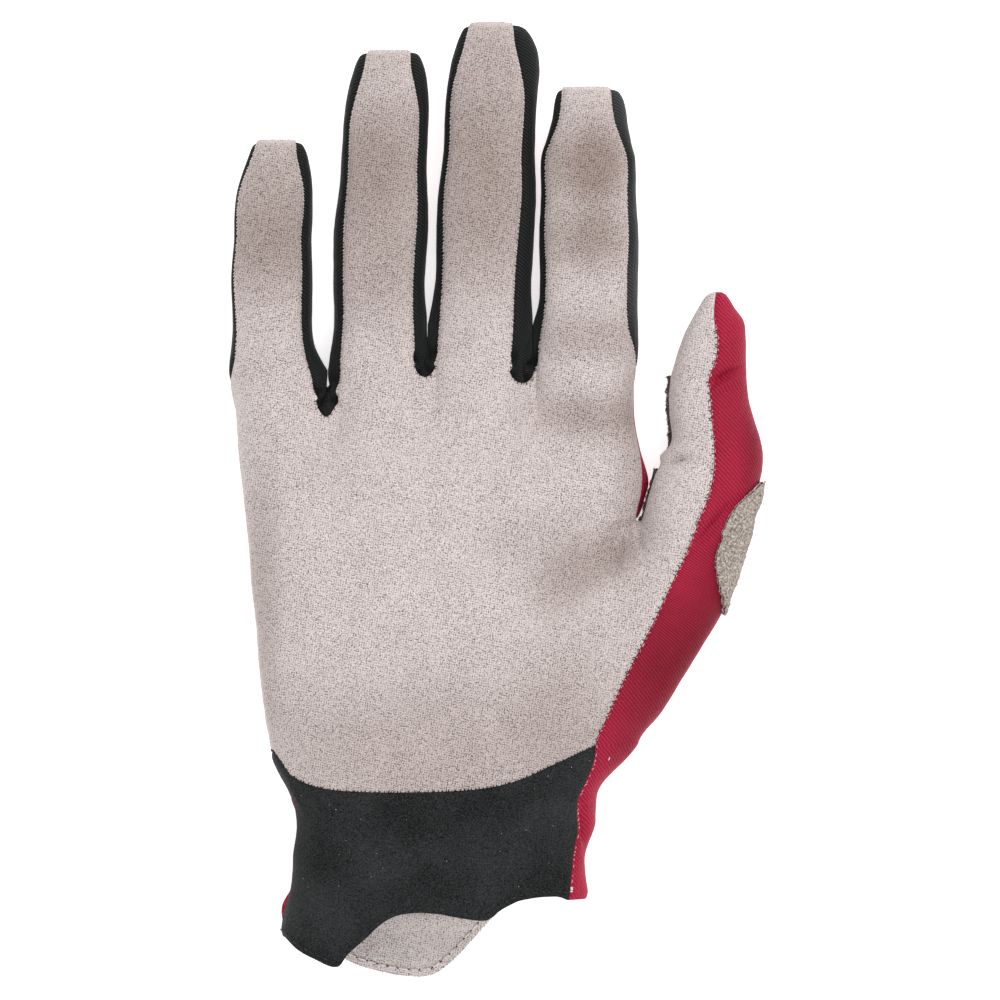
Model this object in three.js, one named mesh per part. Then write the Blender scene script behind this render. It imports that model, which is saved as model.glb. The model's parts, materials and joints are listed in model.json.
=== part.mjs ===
// A motocross glove for the right hand, lying on its back with the palm up.
// Millimetres, +Z up, fingers along +Y, thumb on the +X side.
// The glove is a hollow cloth shell. Its outside is worked out once, as rings round the hand, the
// fingers and the thumb; each panel is its share of that shell, given a wall and a seam gap.
import * as THREE from "three";
import { ParametricGeometry } from "three/addons/geometries/ParametricGeometry.js";

// Driving sizes of the cloth
const wall = 1.2;
const seamGap = 0.35;
const patchWall = 0.9;
const patchGap = 0.5;
const tabWall = 1.3;

// Driving sizes of the hand
const palmLength = 98;
const palmDepth = 25;
const cuffLength = 37;
const wristWidth = 74;
const wristDepth = 27;
const seamRise = 11.5;
const hemWave = 13.5;

// Driving sizes of the thumb
const thumbLength = 56;
const thumbWidth = 25;
const thumbDepth = 22;
const thumbLean = 4.5;
const thumbCrotchHeight = 67;

// Driving sizes of the tab at the wrist
const tabWidth = 42.5;
const tabReach = 17.3;
const tabTuck = 12;
const tabLevel = -30;

// Driving sizes of the fingers, from the little finger to the index finger. The front strip is width
// wide, rootWidth at its root; the gussets bulge past it by leftBulge and rightBulge; lean is how far
// the tip stands right of the root and bow how far the middle does. crotchWidth is the gap in the front
// panel to the right of the finger, crotchLevel that crotch's height over the palm's length, and web
// how far the cloth between two fingers comes forward. taper is how much sooner the tip narrows.
const fingers = [
  { name: "pinky", length: 66.5, width: 17, rootWidth: 19.2, depth: 15.5, leftBulge: 0.7, rightBulge: 1.9, lean: 0.3, bow: -2, taper: 0, crotchWidth: 6.3, crotchLevel: -1.2, web: 8 },
  { name: "ring", length: 83.5, width: 18.2, rootWidth: 18.9, depth: 16.5, leftBulge: 1.9, rightBulge: 2.6, lean: 3, bow: -0.5, taper: 0, crotchWidth: 5.3, crotchLevel: 7.3, web: 11 },
  { name: "middle", length: 86.8, width: 19, rootWidth: 18.8, depth: 17, leftBulge: 1.5, rightBulge: 3.9, lean: 4.3, bow: 0.2, taper: 0, crotchWidth: 6.2, crotchLevel: 6, web: 11 },
  { name: "index", length: 73, width: 21, rootWidth: 24.5, depth: 17, leftBulge: 1.2, rightBulge: 2.6, lean: 0.3, bow: 0.2, taper: 0.05, crotchWidth: 2.4, crotchLevel: 3, web: 0 },
];
const pinkyRootLevel = -3;
const tabMiddle = -3.9;

// How far round each ring is squared off: 2 is an ellipse
const fingerFullness = 2.4;
const bodyFullness = 2.8;
const thumbFullness = 2.3;
// How far the underside is pressed flat where it rests
const restPress = 1.2;

// Seams where the front panel meets the back with no gusset, as angles from the top of the ring
const leftSeam = THREE.MathUtils.degToRad(-100);
const rightSeam = THREE.MathUtils.degToRad(86);

// Rings of a finger. along runs from root to tip; strip is a share of half the strip's width, bulge of
// the gussets' bulge, top and bottom of the finger's depth.
const fingerSections = [
  { along: 0, strip: 1.0, bulge: 1.1, top: 1.08, bottom: -0.07 },
  { along: 0.1, strip: 1.0, bulge: 1.1, top: 1.03, bottom: -0.07 },
  { along: 0.23, strip: 0.98, bulge: 1.05, top: 0.97, bottom: -0.07 },
  { along: 0.37, strip: 1.0, bulge: 1.0, top: 0.94, bottom: -0.06 },
  { along: 0.5, strip: 1.02, bulge: 0.92, top: 0.9, bottom: -0.04 },
  { along: 0.62, strip: 0.98, bulge: 0.82, top: 0.93, bottom: 0.02 },
  { along: 0.72, strip: 1.0, bulge: 0.74, top: 1.0, bottom: 0.1 },
  { along: 0.8, strip: 0.97, bulge: 0.85, top: 1.04, bottom: 0.18 },
  { along: 0.87, strip: 0.83, bulge: 1.2, top: 1.03, bottom: 0.27 },
  { along: 0.935, strip: 0.67, bulge: 1.3, top: 0.96, bottom: 0.38 },
  { along: 0.98, strip: 0.61, bulge: 0.8, top: 0.83, bottom: 0.5 },
  { along: 1, strip: 0.59, bulge: 0, top: 0.66, bottom: 0.66 },
];

// Rings of the hand. along is -1 at the cuff's hem, 0 at the cuff's seam and 1 at the fingers' roots.
// left, palmRight, seam and right are shares of the hand's width there, from its middle line, and top
// is a share of its depth. palmRight is the palm's own edge behind the thumb, seam the thumb's seam.
const bodySections = [
  { along: -1, left: -0.515, palmRight: 0.51, seam: 0.452, right: 0.515, top: 0.96 },
  { along: -0.75, left: -0.484, palmRight: 0.5, seam: 0.465, right: 0.502, top: 0.98 },
  { along: -0.5, left: -0.474, palmRight: 0.52, seam: 0.478, right: 0.532, top: 1.0 },
  { along: -0.25, left: -0.417, palmRight: 0.45, seam: 0.435, right: 0.484, top: 1.03 },
  { along: 0, left: -0.412, palmRight: 0.45, seam: 0.402, right: 0.508, top: 1.06 },
  { along: 0.1, left: -0.426, palmRight: 0.46, seam: 0.432, right: 0.568, top: 1.1 },
  { along: 0.2, left: -0.438, palmRight: 0.47, seam: 0.463, right: 0.622, top: 1.13 },
  { along: 0.3, left: -0.447, palmRight: 0.48, seam: 0.504, right: 0.673, top: 1.14 },
  { along: 0.4, left: -0.455, palmRight: 0.488, seam: 0.546, right: 0.72, top: 1.12 },
  { along: 0.5, left: -0.463, palmRight: 0.495, seam: 0.589, right: 0.748, top: 1.08 },
  { along: 0.6, left: -0.47, palmRight: 0.502, seam: 0.632, right: 0.774, top: 1.04 },
  { along: 0.69, left: -0.477, palmRight: 0.507, seam: 0.659, right: 0.793, top: 1.0 },
  { along: 0.77, left: -0.484, palmRight: 0.524, seam: 0.66, right: 0.793, top: 0.96 },
  { along: 0.87, left: -0.49, palmRight: 0.523, seam: 0.66, right: 0.793, top: 0.9 },
  { along: 1, left: -0.5, palmRight: 0.5, seam: 0.66, right: 0.793, top: 0.8 },
];

// Rings of the thumb. along runs from its crotch to its tip; left, seam and right are shares of the
// thumb's width from its middle line, top and bottom of its depth.
const thumbSections = [
  { along: 0, left: -0.55, seam: 0, right: 0.53, top: 1.14, bottom: 0.08 },
  { along: 0.09, left: -0.52, seam: 0.069, right: 0.564, top: 1.12, bottom: 0.08 },
  { along: 0.18, left: -0.47, seam: 0.108, right: 0.608, top: 1.1, bottom: 0.08 },
  { along: 0.27, left: -0.389, seam: 0.111, right: 0.621, top: 1.08, bottom: 0.09 },
  { along: 0.36, left: -0.31, seam: 0.09, right: 0.585, top: 1.05, bottom: 0.1 },
  { along: 0.45, left: -0.345, seam: 0.054, right: 0.5, top: 1.03, bottom: 0.11 },
  { along: 0.54, left: -0.375, seam: 0.028, right: 0.423, top: 1.0, bottom: 0.13 },
  { along: 0.63, left: -0.375, seam: 0.002, right: 0.387, top: 0.99, bottom: 0.16 },
  { along: 0.72, left: -0.345, seam: 0.05, right: 0.365, top: 0.97, bottom: 0.19 },
  { along: 0.81, left: -0.296, seam: 0.049, right: 0.344, top: 0.93, bottom: 0.25 },
  { along: 0.89, left: -0.225, seam: 0.005, right: 0.31, top: 0.87, bottom: 0.33 },
  { along: 0.95, left: -0.155, seam: -0.004, right: 0.205, top: 0.79, bottom: 0.42 },
  { along: 0.988, left: -0.09, seam: 0, right: 0.11, top: 0.71, bottom: 0.5 },
  { along: 1, left: 0, seam: 0, right: 0, top: 0.6, bottom: 0.6 },
];

// The line where palm and cuff are sewn: rise is a share of seamRise, across runs left to right
const cuffSeamLine = [
  { across: 0, rise: 0.85 },
  { across: 0.025, rise: 0.63 },
  { across: 0.05, rise: 0.38 },
  { across: 0.095, rise: 0.2 },
  { across: 0.15, rise: 0.08 },
  { across: 0.25, rise: 0.01 },
  { across: 0.45, rise: 0 },
  { across: 0.64, rise: 0.07 },
  { across: 0.76, rise: 0.25 },
  { across: 0.88, rise: 0.62 },
  { across: 1, rise: 1 },
];
// The cuff's wavy hem on the palm side: rise is a share of hemWave
const hemLine = [
  { across: 0, rise: 0.04 },
  { across: 0.042, rise: -0.15 },
  { across: 0.112, rise: -0.33 },
  { across: 0.2, rise: -0.47 },
  { across: 0.241, rise: -0.24 },
  { across: 0.304, rise: 0.04 },
  { across: 0.374, rise: 0.35 },
  { across: 0.444, rise: 0.5 },
  { across: 0.549, rise: 0.52 },
  { across: 0.654, rise: 0.43 },
  { across: 0.759, rise: 0.39 },
  { across: 0.811, rise: 0.59 },
  { across: 0.899, rise: 0.78 },
  { across: 0.969, rise: 0.81 },
  { across: 1, rise: 0.74 },
];
// The back's own hem, hidden under the cuff's
const backHemLine = [
  { across: 0, rise: 0.04 },
  { across: 0.12, rise: 0.5 },
  { across: 0.3, rise: 0.8 },
  { across: 0.6, rise: 0.88 },
  { across: 0.85, rise: 0.82 },
  { across: 1, rise: 0.74 },
];

// The tab's free edge: reach is a share of tabReach
const tabEdge = [
  { across: 0, reach: 0.62 },
  { across: 0.06, reach: 0.77 },
  { across: 0.18, reach: 0.89 },
  { across: 0.38, reach: 1 },
  { across: 0.56, reach: 1 },
  { across: 0.68, reach: 0.81 },
  { across: 0.82, reach: 0.45 },
  { across: 0.94, reach: 0.1 },
  { across: 1, reach: -0.12 },
];

// Hollows pressed into the palm side. across and up are where the middle lies, as shares of the palm's
// width from its middle line and of its length from the cuff's seam; wide, long and deep are shares of
// the palm's width, length and depth, and turn is the hollow's slant in degrees.
const hollows = [
  { across: 0.05, up: 0.5, wide: 0.3, long: 0.26, deep: 0.07, turn: 0 },
  { across: 0.4, up: 0.62, wide: 0.07, long: 0.2, deep: 0.2, turn: -38 },
  { across: 0.36, up: 0.9, wide: 0.13, long: 0.12, deep: 0.09, turn: 0 },
  { across: -0.3, up: 0.95, wide: 0.16, long: 0.08, deep: 0.04, turn: 0 },
];
// Hollows across the thumb's front, at its crotch and its joint: along the thumb, and shares of its size
const thumbHollows = [
  { along: 0.28, side: -0.34, wide: 0.2, long: 0.05, deep: 0.09 },
  { along: 0.62, side: 0.1, wide: 0.3, long: 0.05, deep: 0.05 },
];

// The rough patch over the thumb's knuckle: how far its leaf reaches from the thumb's outer edge towards
// the seam, and towards the back, along its length
const knuckleLeaf = [
  { along: 0, toSeam: 0.1, toBack: 0.04 },
  { along: 0.14, toSeam: 0.26, toBack: 0.25 },
  { along: 0.32, toSeam: 0.53, toBack: 0.5 },
  { along: 0.51, toSeam: 0.69, toBack: 0.65 },
  { along: 0.7, toSeam: 0.69, toBack: 0.65 },
  { along: 0.86, toSeam: 0.58, toBack: 0.4 },
  { along: 1, toSeam: 0.2, toBack: 0.04 },
];
// Where the patches start and end up the glove's side, counted as the thumb's rings are, and how far
// round the back of the thumb from its crotch side
const knucklePatch = { from: -0.43, to: 0.175, edge: 0.64, span: 0.36 };
const innerPatch = { from: 0.28, to: 0.64, edge: 0.03, span: 0.2 };
const webPatch = { from: 0.03, to: 0.22, edge: 0.03, span: 0.16 };

// Rows and columns of the cloth's mesh
const cuffRows = 5;
const handRows = 8;
const rootRows = 4;
const stripColumns = { pinky: 5, ring: 4, middle: 4, index: 5, thumb: { palm: 5, back: 8 } };
const gussetColumns = 3;

// Palm width and the fingers' places follow from the fingers
const palmWidth = fingers.reduce((sum, f, i) => sum + f.rootWidth + (i < 3 ? f.crotchWidth : 0), 0);
const palmLeft = -palmWidth / 2;
let placed = palmLeft;
for (const finger of fingers) {
  finger.rootLeft = placed;
  finger.rootRight = placed + finger.rootWidth;
  finger.middle = placed + finger.rootWidth / 2;
  placed = finger.rootRight + finger.crotchWidth;
}
const [pinky, ring, middle, index] = fingers;
const thumb = { name: "thumb" };
const crotchShare = thumbCrotchHeight / palmLength;
const crotchEdge = read(bodySections, "palmRight", crotchShare) * palmWidth;
const thumbMiddle = crotchEdge + index.crotchWidth / 2 - thumbSections[0].left * thumbWidth;

function lerp(a, b, share) {
  return a + (b - a) * share;
}

function smooth(share) {
  return THREE.MathUtils.smoothstep(share, 0, 1);
}

function signedPower(value, power) {
  return Math.sign(value) * Math.abs(value) ** power;
}

// A column of a table at a place between its rows, on a curve that passes through them
function read(table, column, place) {
  const key = "along" in table[0] ? "along" : "across";
  const last = table.length - 1;
  const at = THREE.MathUtils.clamp(place, table[0][key], table[last][key]);
  let i = 0;
  while (i < last - 1 && at > table[i + 1][key]) i += 1;
  const slope = (k) => {
    const a = table[Math.max(k - 1, 0)];
    const b = table[Math.min(k + 1, last)];
    return (b[column] - a[column]) / (b[key] - a[key]);
  };
  const step = table[i + 1][key] - table[i][key];
  const t = (at - table[i][key]) / step;
  const t2 = t * t;
  const t3 = t2 * t;
  return (
    (2 * t3 - 3 * t2 + 1) * table[i][column] +
    (t3 - 2 * t2 + t) * step * slope(i) +
    (3 * t2 - 2 * t3) * table[i + 1][column] +
    (t3 - t2) * step * slope(i + 1)
  );
}

// A point of a ring at an angle from its top, clockwise as seen from the wrist
function onRing(ring, angle) {
  const power = 2 / ring.fullness;
  const halfWidth = (ring.right - ring.left) / 2;
  const halfDepth = (ring.top - ring.bottom) / 2;
  return new THREE.Vector3(
    ring.left + halfWidth + halfWidth * signedPower(Math.sin(angle), power),
    ring.y ?? 0,
    Math.max(ring.bottom + halfDepth + halfDepth * signedPower(Math.cos(angle), power), 0),
  );
}

// The angle of the ring's point at x, on the palm side or on the back
function angleAt(ring, x, side) {
  const halfWidth = Math.max((ring.right - ring.left) / 2, 1e-6);
  const share = THREE.MathUtils.clamp((x - ring.left - halfWidth) / halfWidth, -1, 1);
  const fromTop = Math.asin(signedPower(share, ring.fullness / 2));
  return side === "palm" ? fromTop : -Math.PI - fromTop;
}

// An angle on the right of a ring, counted the way that side's columns run: the back's run under the hand
function fromRight(angle, side) {
  return side === "palm" ? angle : angle - 2 * Math.PI;
}

function bodyRing(t, rightColumn) {
  const cuffShare = smooth(-t / 0.5);
  const width = lerp(palmWidth, wristWidth, cuffShare);
  const depth = lerp(palmDepth, wristDepth, cuffShare);
  return {
    left: read(bodySections, "left", t) * width,
    right: read(bodySections, rightColumn, t) * width,
    seam: read(bodySections, "seam", t) * width,
    top: read(bodySections, "top", t) * depth,
    bottom: -restPress,
    fullness: bodyFullness,
  };
}

// Below its crotch, where s is negative, the thumb's ring slides along with the hand's own edges
function thumbRing(s) {
  const at = THREE.MathUtils.clamp(s, 0, 1);
  const middleX = thumbMiddle + thumbLean * at;
  const t = crotchShare * (1 + Math.min(s, 0));
  const slide = (column) => (read(bodySections, column, t) - read(bodySections, column, crotchShare)) * palmWidth;
  return {
    left: middleX + read(thumbSections, "left", at) * thumbWidth + slide("palmRight"),
    right: middleX + read(thumbSections, "right", at) * thumbWidth + slide("right"),
    seam: middleX + read(thumbSections, "seam", at) * thumbWidth + slide("seam"),
    top: read(thumbSections, "top", at) * thumbDepth,
    bottom: read(thumbSections, "bottom", at) * thumbDepth,
    fullness: thumbFullness,
  };
}

// A finger's ring, with the x of the front strip's two edges. At the root the gussets fill the crotch.
function fingerRing(finger, s) {
  const at = THREE.MathUtils.clamp(s, 0, 1);
  const number = fingers.indexOf(finger);
  const spread = smooth(at / 0.28);
  const middleX = finger.middle + finger.lean * at + finger.bow * Math.sin(Math.PI * at);
  const narrowed = at + finger.taper * Math.sin(Math.PI * THREE.MathUtils.clamp((at - 0.7) / 0.3, 0, 1));
  const half = (lerp(finger.rootWidth, finger.width, spread) * read(fingerSections, "strip", narrowed)) / 2;
  const bulge = Math.max(read(fingerSections, "bulge", at), 0);
  const crotchLeft = number > 0 ? fingers[number - 1].crotchWidth / 2 - seamGap : 0;
  const crotchRight = number < 3 ? finger.crotchWidth / 2 - seamGap : 0;
  const opening = smooth(at / 0.2);
  return {
    stripLeft: middleX - half,
    stripRight: middleX + half,
    left: middleX - half - lerp(crotchLeft, finger.leftBulge * bulge, opening),
    right: middleX + half + lerp(crotchRight, finger.rightBulge * bulge, opening),
    top: read(fingerSections, "top", at) * finger.depth,
    bottom: read(fingerSections, "bottom", at) * finger.depth,
    fullness: fingerFullness,
  };
}

// Angles of a finger strip's edges. The glove's two outer edges start at the side seams.
function stripAngles(finger, s, side) {
  const ringHere = fingerRing(finger, s);
  const open = smooth(s / 0.3);
  const left = angleAt(ringHere, ringHere.stripLeft, side);
  const right = angleAt(ringHere, ringHere.stripRight, side);
  return {
    left: finger === pinky ? lerp(leftSeam, left, open) : left,
    right: finger === index ? lerp(fromRight(rightSeam, side), right, open) : right,
  };
}

// How far a hollow of the palm side presses a point down: a bell that fades over the edges
function hollowDepth(x, y, angle) {
  const facing = Math.max(Math.cos(angle), 0);
  let depth = 0;
  for (const h of hollows) {
    const turn = THREE.MathUtils.degToRad(h.turn);
    const dx = x - h.across * palmWidth;
    const dy = y - h.up * palmLength;
    const a = (dx * Math.cos(turn) + dy * Math.sin(turn)) / (h.wide * palmWidth);
    const b = (dy * Math.cos(turn) - dx * Math.sin(turn)) / (h.long * palmLength);
    depth += h.deep * palmDepth * Math.exp(-(a * a + b * b));
  }
  for (const h of thumbHollows) {
    const a = (x - thumbMiddle - thumbLean * h.along - h.side * thumbWidth) / (h.wide * thumbWidth);
    const b = (y - thumbCrotchHeight - h.along * thumbLength) / (h.long * thumbLength);
    depth += h.deep * thumbDepth * Math.exp(-(a * a + b * b));
  }
  return depth * facing;
}

// The angles that the columns of one side keep on the palm's ring and on the whole hand's
function bodyAngles(side) {
  const root = bodyRing(1, "palmRight");
  const crotchRing = bodyRing(crotchShare, "right");
  const palm = { left: leftSeam, right: fromRight(rightSeam, side) };
  const split = angleAt(crotchRing, crotchEdge, side);
  const edges = fingers.map((f) => ({
    left: f === pinky ? palm.left : angleAt(root, f.rootLeft, side),
    right: f === index ? palm.right : angleAt(root, f.rootRight, side),
  }));
  return { palm, split, edges };
}
const anglesOf = { palm: bodyAngles("palm"), back: bodyAngles("back") };

// A column of one side: a place across a finger, the thumb, or the crotch to the right of a finger
function columnsOf(side) {
  const columns = [];
  const add = (part, kind, count) => {
    for (let k = 0; k <= count; k += 1) columns.push({ part, kind, u: k / count });
  };
  for (const finger of fingers) {
    add(finger, "strip", stripColumns[finger.name]);
    columns.push({ part: finger, kind: "crotch", u: 0.5 });
  }
  add(thumb, "strip", stripColumns.thumb[side]);
  return columns;
}

function palmAngle(column, side) {
  const { edges, palm } = anglesOf[side];
  const number = fingers.indexOf(column.part);
  const here = edges[number];
  if (column.kind === "strip") return lerp(here.left, here.right, column.u);
  const next = number < 3 ? edges[number + 1].left : palm.right;
  return (here.right + next) / 2;
}

function handAngle(column, side, t) {
  const { palm, split } = anglesOf[side];
  const ringHere = bodyRing(t, "right");
  const seam = fromRight(angleAt(ringHere, ringHere.seam, "palm"), side);
  if (column.part === thumb) return lerp(split, seam, column.u);
  const share = (palmAngle(column, side) - palm.left) / (palm.right - palm.left);
  return lerp(palm.left, split, share);
}

// A point of a finger strip or of the crotch beside it, in the finger's own rings, before its height up the glove
function fingerSection(column, side, s) {
  const at = (finger, u) => {
    const angles = stripAngles(finger, s, side);
    return onRing(fingerRing(finger, s), lerp(angles.left, angles.right, u));
  };
  if (column.kind === "strip") return at(column.part, column.u);
  const next = fingers[fingers.indexOf(column.part) + 1];
  return at(column.part, 1).lerp(at(next, 0), 0.5);
}

function thumbAngles(s, side) {
  const ringHere = thumbRing(s);
  return { left: leftSeam, right: fromRight(angleAt(ringHere, ringHere.seam, "palm"), side) };
}

function thumbSection(side, u, s) {
  const angles = thumbAngles(s, side);
  const angle = lerp(angles.left, angles.right, u);
  const point = onRing(thumbRing(s), angle);
  point.angle = angle;
  return point;
}

// How far the whole hand's ring has turned into the palm's and the thumb's. Beside the crotch the
// valley between them ends steeply, as cloth does in a crotch.
function palmShare(column, t) {
  const at = THREE.MathUtils.clamp((t - 0.25) / (crotchShare - 0.25), 0, 1);
  const steep = 1 - Math.sqrt(1 - at * at);
  const beside = { index: column.kind === "crotch" ? 1 : column.u ** 3, thumb: (1 - column.u) ** 3 };
  return lerp(smooth(at), steep, beside[column.part.name] ?? 0);
}

// A point of the hand below the fingers: the whole hand's ring, which turns into the palm's and the
// thumb's rings towards the thumb's crotch, and into the fingers' towards their roots
function bodySection(column, side, t) {
  const whole = handAngle(column, side, Math.min(t, crotchShare));
  const point = onRing(bodyRing(t, "right"), whole);
  const toPalm = palmShare(column, t);
  const s = t / crotchShare - 1;
  const palmEdge = anglesOf[side].palm.right;
  let angle = whole;
  if (column.part === thumb) {
    const own = thumbSection(side, column.u, Math.min(s, 0));
    point.lerp(own, toPalm);
    angle = lerp(whole, own.angle, toPalm);
  } else if (column.part === index && column.kind === "crotch") {
    const own = onRing(bodyRing(t, "palmRight"), palmEdge).lerp(thumbSection(side, 0, Math.min(s, 0)), 0.5);
    point.lerp(own, toPalm);
    angle = lerp(whole, palmEdge, toPalm);
  } else {
    const own = palmAngle(column, side);
    point.lerp(onRing(bodyRing(t, "palmRight"), own), toPalm);
    angle = lerp(whole, own, toPalm);
    const toFinger = smooth((t - crotchShare - 0.04) / (0.96 - crotchShare));
    point.lerp(fingerSection(column, side, 0), toFinger);
  }
  point.angle = angle;
  return point;
}

// The level at which a column reaches its crotch or root, over the cuff's seam
function rootLevel(column) {
  const number = fingers.indexOf(column.part);
  const finger = column.part;
  if (column.kind === "crotch") return palmLength + finger.crotchLevel - 0.4 * finger.crotchWidth;
  const left = number > 0 ? fingers[number - 1].crotchLevel : pinkyRootLevel;
  return palmLength + lerp(left, finger.crotchLevel, column.u);
}

function bodyLevel(column, side, t) {
  const ringHere = bodyRing(0, "right");
  const start = onRing(ringHere, handAngle(column, side, 0)).x;
  const first = onRing(ringHere, leftSeam).x;
  const across = THREE.MathUtils.clamp((start - first) / (ringHere.seam - first), 0, 1);
  const seamLine = side === "palm" ? read(cuffSeamLine, "rise", across) : lerp(cuffSeamLine[0].rise, 1, across);
  const base = seamLine * seamRise;
  if (t <= 0) {
    const hem = read(side === "palm" ? hemLine : backHemLine, "rise", across) * hemWave - cuffLength;
    return lerp(base, hem, -t);
  }
  const dip = column.part === index && column.kind === "crotch" ? 0.5 * index.crotchWidth : 0;
  if (t <= crotchShare) return lerp(base, thumbCrotchHeight, t / crotchShare) - dip * palmShare(column, t);
  return lerp(thumbCrotchHeight, rootLevel(column), (t - crotchShare) / (1 - crotchShare));
}

function settle(point, y) {
  point.y = y;
  point.z = Math.max(point.z - hollowDepth(point.x, y, point.angle ?? 0), 0);
  return point;
}

function bodyPoint(column, side, t) {
  return settle(bodySection(column, side, t), bodyLevel(column, side, t));
}

function tipLevel(finger) {
  return palmLength + finger.crotchLevel + finger.length - crotchMean(finger);
}

function crotchMean(finger) {
  const number = fingers.indexOf(finger);
  const left = number > 0 ? fingers[number - 1].crotchLevel : pinkyRootLevel;
  return (finger.crotchLevel - left) / 2;
}

function fingerPoint(finger, side, u, s) {
  const column = { part: finger, kind: "strip", u };
  const point = fingerSection(column, side, s);
  point.angle = palmAngle(column, side);
  return settle(point, lerp(rootLevel(column), tipLevel(finger), s));
}

function thumbPoint(side, u, s) {
  const point = thumbSection(side, u, s);
  return settle(point, thumbCrotchHeight + thumbLength * s);
}

// A gusset's point beside a finger, u from the front strip's edge to the back's. Near the crotch its
// middle is drawn forward, as the web between two fingers is.
function gussetPoint(finger, sideways, u, s) {
  const front = stripAngles(finger, s, "palm");
  const back = stripAngles(finger, s, "back");
  const from = sideways === "right" ? front.right : front.left;
  const to = sideways === "right" ? back.right + 2 * Math.PI : back.left;
  const point = onRing(fingerRing(finger, s), lerp(from, to, u));
  const column = { part: finger, kind: "strip", u: sideways === "right" ? 1 : 0 };
  const reach = sideways === "right" ? finger.web : fingers[fingers.indexOf(finger) - 1]?.web ?? 0;
  const web = reach * Math.sin(Math.PI * u) * Math.max(1 - s / 0.35, 0) ** 2;
  point.angle = lerp(palmAngle(column, "palm"), Math.PI, smooth(u));
  return settle(point, lerp(rootLevel(column), tipLevel(finger), s) + web);
}

// The middle of the web between a finger and the next, u from the palm to the back
function webPoint(finger, u) {
  const next = fingers[fingers.indexOf(finger) + 1];
  const column = { part: finger, kind: "crotch", u: 0.5 };
  const point = gussetPoint(finger, "right", u, 0).lerp(gussetPoint(next, "left", u, 0), 0.5);
  const slack = 0.9;
  point.y = lerp(rootLevel(column), point.y - slack * Math.sin(Math.PI * u), Math.sin(Math.PI * u));
  return point;
}

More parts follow.
